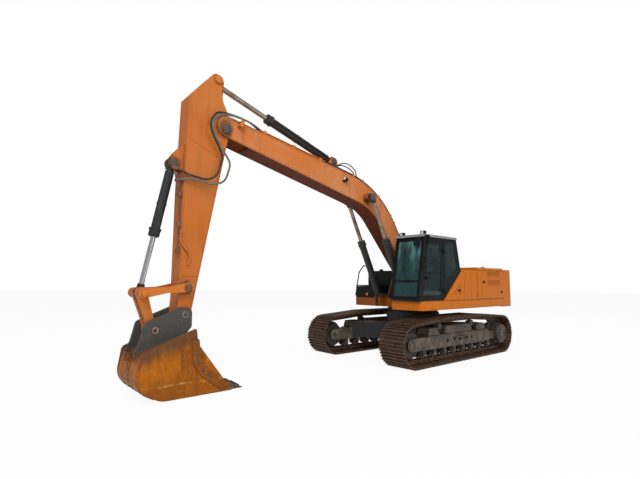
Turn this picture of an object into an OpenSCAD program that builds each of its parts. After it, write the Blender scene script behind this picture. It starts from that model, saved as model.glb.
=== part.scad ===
// Crawler excavator of the 35-tonne class: X forward, Y left, Z up, millimetres,
// origin on the swing axis at the ground. It parks with the bucket flat on the ground.

/* [Undercarriage] */
// Distance between the idler's and the sprocket's axles
tumbler_dist = 4000; // [3600:10:4400]
// Distance between the middles of the two tracks
gauge = 2600; // [2400:10:2800]
// Width of a track shoe
shoe_w = 700; // [600:10:800]
// Height of the grousers on a shoe
grouser_h = 36; // [20:1:45]
// Thickness of a shoe's plate
shoe_t = 16; // [10:1:24]
// Height of the track chain under the shoes
chain_h = 115; // [90:1:140]
// Width of the track chain
chain_w = 210; // [160:5:260]
// Radius of the idler and the sprocket where the chain lies
tumbler_r = 350; // [300:1:400]
// Radius of the lower track rollers
roller_r = 90; // [70:1:110]
// Number of lower track rollers on a side
roller_count = 8; // [6:1:9]
// Radius of the carrier rollers
carrier_r = 80; // [60:1:100]
// Distance of a carrier roller from the middle of the track
carrier_x = 750; // [500:10:1000]
// Rise of the top run at the carrier rollers above the tumblers
carrier_rise = 86; // [40:1:110]
// Width of the track frame's box
side_frame_w = 380; // [320:10:440]
// Height of the track frame's box
side_frame_h = 310; // [260:10:360]
// Radius of the slewing collar
slew_r = 600; // [500:5:680]
// Wall of the slewing ring around the collar
slew_wall = 90; // [60:5:120]

/* [Upper structure] */
// Height of the deck's underside above the ground
deck_bottom = 1275; // [1240:5:1320]
// Height of the deck's skirt
deck_h = 225; // [180:5:260]
// Half the width over the deck
deck_half_w = 1490; // [1440:5:1560]
// Front edge of the deck under the cab
left_front = 1600; // [1500:5:1700]
// Front edge of the deck on the right
right_front = 830; // [760:5:900]
// Half width of the open channel for the boom
channel_half_w = 560; // [540:5:590]
// How far the counterweight reaches behind the engine bay
weight_depth = 980; // [900:5:1080]
// Rear end of the fixed panels behind the cab, where the doors start
door_front = 950; // [850:5:1050]
// Height of the side panels above the deck
panel_h = 790; // [700:5:860]
// Thickness of panels and doors
panel_t = 40; // [30:1:60]
// Height of the hood above the side panels
hood_h = 80; // [50:5:110]
// Tail swing radius
tail_r = 3400; // [3300:5:3500]
// Radius of the counterweight's corners
corner_r = 480; // [300:5:520]
// Height of the counterweight
weight_h = 1080; // [950:5:1150]

/* [Cab] */
// Height of the cab over the deck, up to the roof
cab_h = 1560; // [1480:5:1640]
// Thickness of the roof
roof_t = 60; // [40:1:80]
// Front edge of the cab's floor
cab_front = 1700; // [1650:5:1720]
// How far the windscreen leans back
screen_lean = 280; // [200:5:340]
// Wall of the cab's frame
cab_wall = 60; // [50:1:80]
// Thickness of the glass
glass_t = 8; // [5:1:12]
// Rear edge of the door's opening
door_rear = 640; // [600:5:680]
// Width of the front pillar
pillar_w = 90; // [70:5:110]

/* [Boom] */
// Boom foot pin, ahead of the swing axis
foot_x = 250; // [200:5:300]
// Boom foot pin above the ground
foot_z = 2050; // [2000:5:2100]
// Length of the boom from pin to pin
boom_len = 6530; // [6300:10:6700]
// Rise of the boom's pin-to-pin line as it parks
boom_angle = 26.04; // [25:0.01:27]
// Half the width over the boom
boom_half_w = 240; // [220:5:260]
// Thickness of the boom's side plates
boom_side_t = 22; // [16:1:26]
// Thickness of the boom's top and bottom plates
boom_flange_t = 24; // [16:1:30]
// Station of the boom's bend from the foot
bend_x = 2350; // [2250:10:2450]
// Height of the upper corner of the bend
bend_top = 1500; // [1450:10:1550]
// Height of the lower corner of the bend
bend_low = 850; // [800:10:900]
// Radius of the bosses at the boom's ends
boom_boss_r = 200; // [180:5:215]
// Length of the open fork at the boom's tip
fork_len = 600; // [580:10:640]
// Radius of the main pins
pin_r = 60; // [50:1:65]

/* [Stick] */
// Length of the stick from pin to pin
stick_len = 3625; // [3500:5:3750]
// Lean of the stick from the vertical as it parks
stick_angle = 10.9; // [10:0.1:12]
// Half the width over the stick
stick_half_w = 200; // [185:5:205]
// Thickness of the stick's side plates
stick_side_t = 20; // [14:1:24]
// Thickness of the stick's front and rear plates
stick_flange_t = 20; // [14:1:24]
// Radius of the stick's nose boss
nose_r = 130; // [115:5:140]
// Distance of the arm cylinder's pin above the boom pin
ear_x = 915; // [880:5:950]
// Distance of the arm cylinder's pin ahead of the stick's pin line
ear_y = 352; // [320:1:380]

/* [Bucket] */
// Outer width of the bucket
bucket_w = 1100; // [950:10:1350]
// Thickness of the bucket's plates
bucket_t = 22; // [16:1:30]
// Height of the bucket's pin above its floor
bucket_h = 1349; // [1300:1:1351]
// Number of teeth
tooth_count = 5; // [4:1:6]
// Width of a tooth
tooth_w = 110; // [80:5:130]
// Thickness of the bucket's ears
ear_t = 50; // [40:1:55]

/* [Cylinders] */
// Outer radius of the boom cylinders
boom_cyl_r = 88; // [75:1:95]
// Radius of the boom cylinders' rods
boom_rod_r = 50; // [40:1:58]
// Length of the boom cylinders' barrels from pin to gland
boom_barrel_len = 1720; // [1650:10:1780]
// Outer radius of the arm cylinder
arm_cyl_r = 95; // [80:1:100]
// Radius of the arm cylinder's rod
arm_rod_r = 55; // [45:1:62]
// Length of the arm cylinder's barrel from pin to gland
arm_barrel_len = 1980; // [1930:10:2040]
// Outer radius of the bucket cylinder
bucket_cyl_r = 80; // [70:1:90]
// Radius of the bucket cylinder's rod
bucket_rod_r = 45; // [38:1:52]
// Length of the bucket cylinder's barrel from pin to gland
bucket_barrel_len = 1370; // [1340:5:1420]

/* [Hidden] */
$fn = 64;

// Colours
orange = [0.82, 0.45, 0.14];
rust = [0.60, 0.33, 0.10];
dark = [0.13, 0.13, 0.14];
iron = [0.36, 0.28, 0.21];
steel = [0.75, 0.76, 0.78];
glass = [0.20, 0.35, 0.33, 0.5];

// Fits: a seat that touches, a running pin, a moving piece beside another
seat = 0.3;
run = 0.05;
clear = 6;
hinge_r = 14;

// Plane geometry, points as [x, z] and corners as [x, z, radius]
function turn(p, a) = [p[0] * cos(a) - p[1] * sin(a), p[0] * sin(a) + p[1] * cos(a)];
function placed(pts, o, a) = [for (p = pts) o + turn(p, a)];
function heading(p, q) = atan2(q[1] - p[1], q[0] - p[0]);
function span(p, q) = norm(q - p);
function flat(p) = [p[0], p[1]];
function unit(p) = p / norm(p);
function arc(c, r, a0, a1, n = 12) =
    [for (i = [0:n]) c + r * [cos(a0 + (a1 - a0) * i / n), sin(a0 + (a1 - a0) * i / n)]];
function lerp(a, b, t) = a + (b - a) * t;

// Round one corner b between a and c by the radius b[2]
function corner(a, b, c, n) =
    let (d1 = unit(flat(b) - flat(a)), d2 = unit(flat(c) - flat(b)),
         bend = d1[0] * d2[1] - d1[1] * d2[0], side = bend > 0 ? 1 : -1,
         half = acos(max(-1, min(1, d1 * d2))) / 2, t = b[2] * tan(half))
    b[2] <= 0 ? [flat(b)] :
    let (start = flat(b) - t * d1, mid = start + side * b[2] * [-d1[1], d1[0]],
         a0 = heading(mid, start))
    arc(mid, b[2], a0, a0 + side * 2 * half, n);

// A closed outline with rounded corners
function rounded(p, n = 8) =
    [for (i = [0:len(p) - 1])
        each corner(p[(i + len(p) - 1) % len(p)], p[i], p[(i + 1) % len(p)], n)];

// The same corners moved inwards by t, for an outline that runs anticlockwise
function inset(p, t) =
    [for (i = [0:len(p) - 1])
        let (a = flat(p[(i + len(p) - 1) % len(p)]), b = flat(p[i]), c = flat(p[(i + 1) % len(p)]),
             d1 = unit(b - a), d2 = unit(c - b), n1 = [-d1[1], d1[0]], n2 = [-d2[1], d2[0]],
             m = (n1 + n2) / (1 + n1 * n2), bend = d1[0] * d2[1] - d1[1] * d2[0],
             q = b + t * m)
        [q[0], q[1], max(0, p[i][2] + (bend > 0 ? -t : t))]];

// A belt around wheels [x, z, r], listed anticlockwise, off outside them
function belt_normal(a, b) =
    heading(flat(a), flat(b)) - acos((a[2] - b[2]) / span(flat(a), flat(b)));
function upto(a, b) = b < a ? upto(a, b + 360) : b;
function belt(w, off, n = 16) =
    [for (i = [0:len(w) - 1])
        let (prev = w[(i + len(w) - 1) % len(w)], next = w[(i + 1) % len(w)],
             a0 = belt_normal(prev, w[i]), a1 = upto(a0, belt_normal(w[i], next)),
             steps = max(2, round(n * (a1 - a0) / 180)))
        each arc(flat(w[i]), w[i][2] + off, a0, a1, steps)];

// Solids from plane outlines
module plate(points, y0, y1) {
    translate([0, y1, 0]) rotate([90, 0, 0]) linear_extrude(y1 - y0) polygon(points);
}
module slab(points, z0, z1) {
    translate([0, 0, z0]) linear_extrude(z1 - z0) polygon(points);
}
module shaft(p, r, y0, y1) {
    translate([p[0], y0, p[1]]) rotate([-90, 0, 0]) cylinder(r = r, h = y1 - y0);
}
module box(a, b) {
    translate(a) cube(b - a);
}
module mirrored() {
    children();
    mirror([0, 1, 0]) children();
}
// Along a line from p to q in the plane y = 0, the x axis points to q
module along(p, q) {
    translate([p[0], 0, p[1]]) rotate([0, -heading(p, q), 0]) children();
}
module rod_x(r, x0, x1) {
    translate([x0, 0, 0]) rotate([0, 90, 0]) cylinder(r = r, h = x1 - x0);
}

// Main pins, as [x, z]
F = [foot_x, foot_z];
T = F + turn([boom_len, 0], boom_angle);
stick_turn = stick_angle - 90;
K = T + turn([stick_len, 0], stick_turn);
S = T + turn([-ear_x, ear_y], stick_turn);
base_pin = [900, 1500];
boom_rod_at = [boom_len - 3940, 994];
arm_base_at = [boom_len - 2680, 1270];
bucket_base_at = [998, 773];
idler_at = [stick_len - 472, 74];
link_at = [725, 390];
bucket_ear_at = [519, -239];
Q = F + turn(boom_rod_at, boom_angle);
A = F + turn(arm_base_at, boom_angle);
B = T + turn(bucket_base_at, stick_turn);
I = T + turn(idler_at, stick_turn);
G = K + link_at;
E = K + bucket_ear_at;

// Undercarriage heights
tip_r = tumbler_r + chain_h + shoe_t + grouser_h;
half_dist = tumbler_dist / 2;
track_y = gauge / 2;
carrier_z = tip_r + tumbler_r + carrier_rise - carrier_r;
chain_low = tip_r - tumbler_r;
roller_z = chain_low + roller_r;
wheels = [[-half_dist, tip_r, tumbler_r], [half_dist, tip_r, tumbler_r],
          [carrier_x, carrier_z, carrier_r], [-carrier_x, carrier_z, carrier_r]];
side_frame_low = roller_z + roller_r + 18;
side_frame_top = side_frame_low + side_frame_h;
carbody_top = deck_bottom - 145;
ring_top = deck_bottom - clear;
frame_inner_y = track_y - side_frame_w / 2;
roller_span = tumbler_dist - 2 * tumbler_r - 2 * roller_r - 160;

// Line of the chain's outer side, walked by its length, and the shoes' outline with three grousers each
chain_line = belt(wheels, chain_h, 40);
line_n = len(chain_line);
walk = [for (i = 0, s = 0; i <= line_n;
             s = s + span(chain_line[i % line_n], chain_line[(i + 1) % line_n]), i = i + 1) [s, i]];
line_len = walk[line_n][0];
shoe_count = round(line_len / 216);
shoe_pitch = line_len / shoe_count;
function off_line(s, h) =
    let (f = lookup((s + line_len) % line_len, walk), i = min(floor(f), line_n - 1),
         a = chain_line[i], b = chain_line[(i + 1) % line_n], d = unit(b - a))
    lerp(a, b, f - i) + h * [d[1], -d[0]];
shoes = [for (i = [0:shoe_count - 1]) for (g = [-74, 0, 74])
    let (s = i * shoe_pitch + g, tip = shoe_t + grouser_h)
    each [off_line(s - 12, shoe_t), off_line(s - 9, tip), off_line(s + 9, tip), off_line(s + 12, shoe_t)]];

// One side of the track: the shoes' band and the chain under it
module track_loop(y) {
    difference() {
        plate(shoes, y - shoe_w / 2, y + shoe_w / 2);
        plate(belt(wheels, chain_h, 40), y - shoe_w, y + shoe_w);
    }
    difference() {
        plate(belt(wheels, chain_h, 40), y - chain_w / 2, y + chain_w / 2);
        plate(belt(wheels, seat, 40), y - shoe_w, y + shoe_w);
    }
}
module track_left() { color(iron) track_loop(track_y); }
module track_right() { color(iron) track_loop(-track_y); }

// Box frame of one track, hollow, with three small holes through its sides
module side_frame(y) {
    fork_x = half_dist - tumbler_r - 60;
    outline = [[-fork_x, side_frame_low + 60, 60], [-fork_x + 120, side_frame_low, 80],
               [fork_x - 120, side_frame_low, 80], [fork_x, side_frame_low + 60, 60],
               [fork_x, side_frame_top - 80, 60], [fork_x - 260, side_frame_top, 200],
               [-fork_x + 260, side_frame_top, 200], [-fork_x, side_frame_top - 80, 60]];
    difference() {
        plate(rounded(outline), y - side_frame_w / 2, y + side_frame_w / 2);
        plate(rounded(inset(outline, 20)), y - side_frame_w / 2 + 20, y + side_frame_w / 2 - 20);
        for (i = [-1:1])
            shaft([i * 560, (side_frame_low + side_frame_top) / 2], 45,
                  y - side_frame_w, y + side_frame_w);
    }
    // Brackets that hang the rollers under the box
    for (i = [0:roller_count - 1]) for (s = [-1, 1])
        difference() {
            box([roller_station(i) - 55, y + s * bracket_y - 12, roller_z - 42],
                [roller_station(i) + 55, y + s * bracket_y + 12, side_frame_low + 10]);
            shaft([roller_station(i), roller_z], 30 + seat, y - side_frame_w, y + side_frame_w);
        }
    // Arms that carry the idler's and the sprocket's axles
    for (end = [-1, 1]) mirror([end > 0 ? 0 : 1, 0, 0]) for (s = [-1, 1])
        difference() {
            plate(rounded([[fork_x - 10, tip_r - 130, 20], [half_dist + 60, tip_r - 100, 90],
                           [half_dist + 60, tip_r + 100, 90], [fork_x - 10, tip_r + 60, 20]]),
                  y + s * (side_frame_w / 2 - 15) - 15, y + s * (side_frame_w / 2 - 15) + 15);
            shaft([half_dist, tip_r], 60 + seat, y - side_frame_w, y + side_frame_w);
        }
    // Posts under the carrier rollers
    for (end = [-1, 1])
        difference() {
            box([end * carrier_x - 60, y - 60, side_frame_top - 20],
                [end * carrier_x + 60, y - 20, carrier_z + 50]);
            shaft([end * carrier_x, carrier_z], 35 + seat, y - side_frame_w, y + side_frame_w);
        }
}
bracket_y = 135;
tow_x = 850;
tow_z = 640;
tow_r = 40;
function roller_station(i) = -roller_span / 2 + roller_span * i / (roller_count - 1);
module track_frame_left() { color(iron) side_frame(track_y); }
module track_frame_right() { color(iron) mirror([0, 1, 0]) side_frame(track_y); }

module front_idlers() {
    color(iron) mirrored() {
        wheel_half = side_frame_w / 2 - 36;
        shaft([half_dist, tip_r], tumbler_r - seat, track_y - 50, track_y + 50);
        shaft([half_dist, tip_r], tumbler_r - 60, track_y - wheel_half, track_y + wheel_half);
        shaft([half_dist, tip_r], 60, track_y - side_frame_w / 2 - 20, track_y + side_frame_w / 2 + 20);
    }
}
module drive_sprockets() {
    color(iron) mirrored() {
        wheel_half = side_frame_w / 2 - 36;
        shaft([-half_dist, tip_r], tumbler_r - seat, track_y - 40, track_y + 40);
        shaft([-half_dist, tip_r], tumbler_r - 70, track_y - wheel_half, track_y + wheel_half);
        shaft([-half_dist, tip_r], 60, track_y - side_frame_w / 2 - 20, track_y + side_frame_w / 2 + 20);
        shaft([-half_dist, tip_r], 230, track_y + side_frame_w / 2 + seat, track_y + shoe_w / 2 - 40);
    }
}
module track_rollers() {
    color(iron) mirrored() for (i = [0:roller_count - 1]) {
        x = roller_station(i);
        for (s = [-1, 1])
            shaft([x, roller_z], roller_r - seat, track_y + s * 75 - 30, track_y + s * 75 + 30);
        shaft([x, roller_z], 30, track_y - bracket_y - 25, track_y + bracket_y + 25);
    }
}
module carrier_rollers() {
    color(iron) mirrored() for (end = [-1, 1]) {
        shaft([end * carrier_x, carrier_z], carrier_r - seat, track_y - 20 + seat, track_y + 90);
        shaft([end * carrier_x, carrier_z], 35, track_y - 80, track_y + 30);
    }
}

module carbody() {
    leg_x = 1050;
    hub_r = slew_r + slew_wall + 40;
    hub_low = side_frame_low + 100;
    leg = [[-90, -60, 0], [560, 80, 0], [leg_x + 280, frame_inner_y - seat, 0],
           [leg_x - 280, frame_inner_y - seat, 0], [150, 350, 0]];
    leg_room = [[700, 480, 0], [leg_x + 200, frame_inner_y - 40, 0], [leg_x - 200, frame_inner_y - 40, 0]];
    color(dark) difference() {
        union() {
            translate([0, 0, hub_low]) cylinder(r = hub_r, h = carbody_top - hub_low);
            for (end = [0, 1]) mirrored() mirror([end, 0, 0])
                slab(rounded(leg), side_frame_low + 40, side_frame_top + 160);
            for (s = [-1, 1]) box([s * 820 - 130, -95, tow_z - 30], [s * 820 + 130, 95, tow_z + 30]);
        }
        translate([0, 0, hub_low + 80]) cylinder(r = hub_r - 50, h = carbody_top - hub_low - 140);
        translate([0, 0, carbody_top - 100]) cylinder(r = slew_r - 60, h = 200);
        for (end = [0, 1]) mirrored() mirror([end, 0, 0])
            slab(rounded(leg_room), side_frame_low + 65, side_frame_top - 25);
        for (s = [-1, 1]) translate([s * tow_x, 0, tow_z - 50]) cylinder(r = tow_r, h = 100);
    }
}
module slew_ring() {
    color(dark) difference() {
        translate([0, 0, carbody_top]) cylinder(r = slew_r + slew_wall, h = ring_top - carbody_top);
        translate([0, 0, carbody_top - 1]) cylinder(r = slew_r + run, h = ring_top);
    }
}

// Deck
deck_top = deck_bottom + deck_h;
bay_rear = tail_r - weight_depth;
panel_top = deck_top + panel_h;
hood_top = panel_top + hood_h;
channel_front = 780;
deck_plan = [[left_front, channel_half_w, 60], [left_front, deck_half_w, 120],
             [-bay_rear, deck_half_w, 0], [-bay_rear, -deck_half_w, 0],
             [right_front, -deck_half_w, 90], [right_front, -channel_half_w, 30],
             [channel_front, -channel_half_w, 0], [channel_front, channel_half_w, 0]];
foot_plate_y = boom_half_w + clear;
cyl_y = 430;
eye_half_w = 50;
base_lug_r = 130;

module foot_bracket(y0, y1) {
    plate(rounded([[-250, deck_top - 20, 0], [channel_front, deck_top - 20, 0],
                   [foot_x + 330, foot_z - 100, 150], [foot_x + 170, foot_z + 190, 170],
                   [foot_x - 190, foot_z + 190, 170]]), y0, y1);
}
module base_lug(y0, y1) {
    plate(rounded([[channel_front - 60, deck_bottom, 0], [base_pin[0] + base_lug_r, deck_bottom + 20, 60],
                   [base_pin[0] + base_lug_r, base_pin[1] + base_lug_r, base_lug_r],
                   [base_pin[0] - base_lug_r, base_pin[1] + base_lug_r, 60],
                   [channel_front - 60, base_pin[1] + base_lug_r, 0]]), y0, y1);
}
module revolving_frame() {
    color(orange) {
        difference() {
            slab(rounded(deck_plan), deck_bottom, deck_top);
            slab(rounded(inset(deck_plan, 30)), deck_bottom + 40, deck_top - 30);
            translate([0, 0, deck_bottom - 1]) cylinder(r = slew_r - 120, h = 100);
        }
        difference() {
            translate([0, 0, carbody_top + clear])
                cylinder(r = slew_r, h = deck_bottom - carbody_top - clear + 1);
            translate([0, 0, carbody_top]) cylinder(r = slew_r - 120, h = 400);
        }
        mirrored() foot_bracket(foot_plate_y, foot_plate_y + 60);
        shaft(F, pin_r, -foot_plate_y - 90, foot_plate_y + 90);
        mirrored() {
            base_lug(cyl_y - eye_half_w - 55, cyl_y - eye_half_w - clear);
            base_lug(cyl_y + eye_half_w + clear, cyl_y + eye_half_w + 55);
            shaft(base_pin, pin_r, cyl_y - eye_half_w - 70, cyl_y + eye_half_w + 70);
        }
    }
}

lift_x = tail_r - 500;
lift_y = 600;
lift_r = 30;
weight_low = deck_bottom - 20;
weight_top = weight_low + weight_h;
// Counterweight: the tail arc, its rounded corners and the pocket for the engine
module counterweight() {
    corner_y = deck_half_w - corner_r;
    corner_x = sqrt(pow(tail_r - corner_r, 2) - pow(corner_y, 2));
    corner_a = 180 - atan2(corner_y, corner_x);
    half = concat([[-bay_rear - seat, deck_half_w]],
                  arc([-corner_x, corner_y], corner_r, 90, corner_a),
                  arc([0, 0], tail_r, corner_a, 180, 8));
    plan = concat(half, [for (i = [len(half) - 2:-1:0]) [half[i][0], -half[i][1]]]);
    color(orange) difference() {
        slab(plan, weight_low, weight_top);
        box([-bay_rear - weight_depth * 0.53, -deck_half_w + 440, deck_top],
            [-bay_rear + 10, deck_half_w - 440, weight_top - 220]);
    }
}
// Two eyes that a crane lifts the counterweight by
module lift_eyes() {
    color(orange) mirrored() difference() {
        plate(rounded([[-lift_x - 90, weight_top + seat, 0], [-lift_x + 90, weight_top + seat, 0],
                       [-lift_x + 60, weight_top + 130, 50], [-lift_x - 60, weight_top + 130, 50]]),
              lift_y - 20, lift_y + 20);
        shaft([-lift_x, weight_top + 75], lift_r, lift_y - 30, lift_y + 30);
    }
}

module engine() {
    color(dark) box([-bay_rear + 170, -500, deck_top + seat],
                    [-door_front - 100, 450, deck_top + panel_h - 170]);
}

// Tanks, panels and covers around the engine bay; shells are open towards the deck
module shell_box(a, b, t) {
    difference() {
        box(a, b);
        box([a[0] + t, a[1] + t, a[2] - 1], [b[0] - t, b[1] - t, b[2] - t]);
    }
}
tank_split = -330;
box_front = right_front - 40;
box_rear = 240;
tank_inner_y = 420;
module fuel_tank() {
    color(orange) shell_box([tank_split + clear, -deck_half_w, deck_top + seat],
                            [box_rear - clear, -tank_inner_y, panel_top], 12);
}
module hydraulic_tank() {
    color(orange) difference() {
        union() {
            shell_box([-door_front + clear, -deck_half_w, deck_top + seat],
                      [tank_split - clear, -tank_inner_y, panel_top], 12);
            box([-door_front + clear, -deck_half_w, deck_top + seat],
                [-door_front + 60, -deck_half_w + 60, panel_top]);
        }
        knuckle_room(-deck_half_w);
    }
    color(orange) bay_pins(-deck_half_w, -1);
    color(orange) hood_pin(hood_hinge_y[0]);
}
box_top = deck_top + 330;
lid_hinge = [box_rear + 24, box_top + 30];
lid_pin_r = 10;
lid_y = [-deck_half_w + 20, -channel_half_w - 40];
module tool_box() {
    color(dark) difference() {
        box([box_rear, lid_y[0], deck_top + seat], [box_front, lid_y[1], box_top]);
        box([box_rear + 25, lid_y[0] + 25, deck_top + 25], [box_front - 25, lid_y[1] - 25, box_top + 1]);
    }
    color(dark) shaft(lid_hinge, lid_pin_r, lid_y[0] + 40, lid_y[1] - 40);
    color(dark) for (y = [lid_y[0] + 40, lid_y[1] - 60])
        box([box_rear, y, box_top - 20], [box_rear + 44, y + 20, box_top + 44]);
}
module tool_box_lid() {
    color(dark) difference() {
        union() {
            box([box_rear + 50, lid_y[0], box_top + clear], [box_front + 15, lid_y[1], box_top + clear + 25]);
            box([box_rear + 8, lid_y[0] + 120, box_top + 14], [box_rear + 60, lid_y[1] - 120, box_top + 46]);
        }
        shaft(lid_hinge, lid_pin_r + run, lid_y[0], lid_y[1]);
    }
}

cab_left = deck_half_w - 20;
cab_right = channel_half_w + 50;
cab_top = deck_top + cab_h;
cab_bottom = deck_top + seat;
cab_rear_top = [40, cab_top];
cab_rear_low = [-140, panel_top - 40];
cab_toe = [690, cab_bottom];
cab_side = [[cab_front, cab_bottom, 40], [cab_front - screen_lean, cab_top, 0],
            [cab_rear_top[0], cab_rear_top[1], 0], [cab_rear_low[0], cab_rear_low[1], 60],
            [cab_toe[0], cab_toe[1], 0]];
module left_panel() {
    rear = -door_front + clear;
    color(orange) difference() {
        plate(rounded([[rear, deck_top + seat, 0], [cab_toe[0] - 20, deck_top + seat, 0],
                       [cab_rear_low[0] - 20, cab_rear_low[1] - clear, 0],
                       [cab_rear_low[0] - 20, panel_top, 0], [rear, panel_top, 0]]),
              deck_half_w - panel_t, deck_half_w);
        knuckle_room(deck_half_w);
    }
    color(orange) bay_pins(deck_half_w, 1);
}
module deck_cover() {
    cover_inner = -tank_inner_y + clear;
    color(orange) {
        box([-door_front + clear, cover_inner, panel_top - 30],
            [cab_rear_low[0] - 30, deck_half_w - panel_t - seat, panel_top]);
        box([-door_front + clear, cover_inner, deck_top + seat],
            [-door_front + 40, tank_inner_y, panel_top - 20]);
        for (y = hood_hinge_y) if (y > 0) hood_pin(y);
    }
}
module hood_pin(y) {
    shaft(hood_hinge, hinge_r, y - 40, y + 100);
    box([-door_front - 16, y - 40, panel_top + 4], [-door_front + 60, y, panel_top + 48]);
    box([-door_front + 20, y - 40, panel_top - 5], [-door_front + 60, y, panel_top + 48]);
}

// Doors of the engine bay turn on pins at their front edges, held by the fixed panels
bay_hinge_z = [deck_top + 130, panel_top - 200];
module bay_pins(y, s) {
    for (z = bay_hinge_z) {
        translate([-door_front, y, z - 40]) cylinder(r = hinge_r, h = 120);
        box([-door_front, y - (s > 0 ? 10 : 12), z - 40], [-door_front + 60, y + (s > 0 ? 12 : 10), z]);
    }
}
module knuckle_room(y) {
    for (z = bay_hinge_z) translate([-door_front, y, z]) cylinder(r = hinge_r + 10 + clear, h = 72);
}
louvre_z = [for (row = [[390, 5], [650, 4]]) for (i = [0:row[1] - 1]) deck_top + row[0] + i * 34];
module bay_door(y, s) {
    difference() {
        union() {
            difference() {
                box([-bay_rear + clear, y - (s > 0 ? panel_t : 0), deck_top + clear],
                    [-door_front - clear, y + (s > 0 ? 0 : panel_t), panel_top - clear]);
                for (z = bay_hinge_z)
                    box([-door_front - 44, y - panel_t - 1, z - 46], [-door_front, y + panel_t + 1, z + 86]);
                for (z = louvre_z)
                    box([-bay_rear + 220, y - panel_t - 1, z], [-bay_rear + 910, y + panel_t + 1, z + 16]);
            }
            for (z = bay_hinge_z) {
                translate([-door_front, y, z + 5]) cylinder(r = hinge_r + 10, h = 60);
                box([-door_front - 60, y - (s > 0 ? 12 : 20), z + 5],
                    [-door_front, y + (s > 0 ? 20 : 12), z + 65]);
            }
        }
        for (z = bay_hinge_z)
            translate([-door_front, y, z]) cylinder(r = hinge_r + run, h = 100);
    }
}
module left_side_door() { color(orange) bay_door(deck_half_w, 1); }
module right_pump_door() { color(orange) bay_door(-deck_half_w, -1); }
hood_hinge = [-door_front, panel_top + 30];
hood_hinge_y = [-900, 500];
module engine_hood() {
    color(orange) difference() {
        union() {
            difference() {
                box([-bay_rear + clear, -deck_half_w + 10, panel_top + clear],
                    [-door_front - clear, deck_half_w - 10, hood_top]);
                box([-bay_rear + panel_t, -deck_half_w + 10 + panel_t, panel_top],
                    [-door_front - clear - panel_t, deck_half_w - 10 - panel_t, hood_top - 30]);
                for (y = hood_hinge_y)
                    box([-door_front - 24, y - 46, panel_top], [-door_front, y + 116, hood_top + 1]);
            }
            for (y = hood_hinge_y) {
                shaft(hood_hinge, hinge_r + 8, y + 10, y + 110);
                box([-door_front - 40, y + 10, panel_top + 10], [-door_front, y + 110, panel_top + 42]);
            }
        }
        for (y = hood_hinge_y) shaft(hood_hinge, hinge_r + run, y, y + 120);
    }
}

// Cab: a frame of pillars around its windows
function screen_at(t) = lerp([cab_front, cab_bottom], [cab_front - screen_lean, cab_top], t);
function screen_x(z) = screen_at((z - cab_bottom) / (cab_top - cab_bottom))[0];
function cab_rear_x(z) =
    lerp(cab_rear_low[0], cab_rear_top[0], (z - cab_rear_low[1]) / (cab_rear_top[1] - cab_rear_low[1]));
door_low = cab_bottom + cab_wall;
door_high = cab_top - 70;
function door_outline(g) =
    [[screen_x(door_low) - pillar_w - g, door_low + g, 60],
     [screen_x(door_high) - pillar_w - g, door_high - g, 60],
     [door_rear + g, door_high - g, 60], [door_rear + g, door_low + g, 60]];
quarter_front = door_rear - 90;
quarter = [[quarter_front, panel_top - 330, 60], [quarter_front, door_high, 60],
           [cab_rear_x(door_high) + 80, door_high, 60], [cab_rear_x(panel_top) + 90, panel_top, 60]];
sill = deck_top + 420;
right_window = [[screen_x(sill) - pillar_w, sill, 60], [screen_x(door_high) - pillar_w, door_high, 60],
                [cab_rear_x(door_high) + 80, door_high, 60], [cab_rear_x(panel_top) + 90, panel_top, 60],
                [cab_toe[0] - 200, sill, 60]];
screen_low = 0.06;
screen_high = 0.95;
function screen_cut(d0, d1, g) =
    [screen_at(screen_low) + [d0, g], screen_at(screen_high) + [d0, -g],
     screen_at(screen_high) + [d1, -g], screen_at(screen_low) + [d1, g]];
window_margin = 70;
rear_low = panel_top + 60;
rear_high = cab_top - 80;
function rear_cut(d0, d1, g) =
    [[cab_rear_x(rear_low) + d0, rear_low + g], [cab_rear_x(rear_low) + d1, rear_low + g],
     [cab_rear_x(rear_high) + d1, rear_high - g], [cab_rear_x(rear_high) + d0, rear_high - g]];
pane = 30;
cab_hinge = [door_rear - 4, cab_left + 24];
cab_hinge_z = [door_low + 180, door_high - 260];
module cab_frame() {
    inner = inset(cab_side, cab_wall);
    room = [inner[0], inner[1] + [0, 2 * cab_wall, 0], inner[2] + [0, 2 * cab_wall, 0], inner[3], inner[4]];
    color(dark) difference() {
        plate(rounded(cab_side), cab_right, cab_left);
        plate(rounded(room), cab_right + cab_wall, cab_left - cab_wall);
        plate(screen_cut(-200, 200, 0), cab_right + window_margin, cab_left - window_margin);
        plate(rounded(door_outline(0)), cab_left - 2 * cab_wall, cab_left + 10);
        plate(rounded(quarter), cab_left - 2 * cab_wall, cab_left + 10);
        plate(rounded(right_window), cab_right - 10, cab_right + 2 * cab_wall);
        plate(rear_cut(-200, 200, 0), cab_right + window_margin, cab_left - window_margin);
    }
    // Hinge pins of the door on the middle pillar
    color(dark) for (z = cab_hinge_z) {
        box([cab_hinge[0] - 60, cab_left, z - 30], [cab_hinge[0] - 8, cab_left + 30, z]);
        box([cab_hinge[0] - 20, cab_left + 8, z - 30], [cab_hinge[0] + 12, cab_left + 40, z]);
        translate([cab_hinge[0], cab_hinge[1], z - 10]) cylinder(r = hinge_r, h = 90);
    }
}
module cab_roof() {
    color(orange) box([cab_rear_top[0] - 10, cab_right - 10, cab_top],
                      [cab_front - screen_lean + 40, cab_left + 10, cab_top + roof_t]);
}
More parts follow.
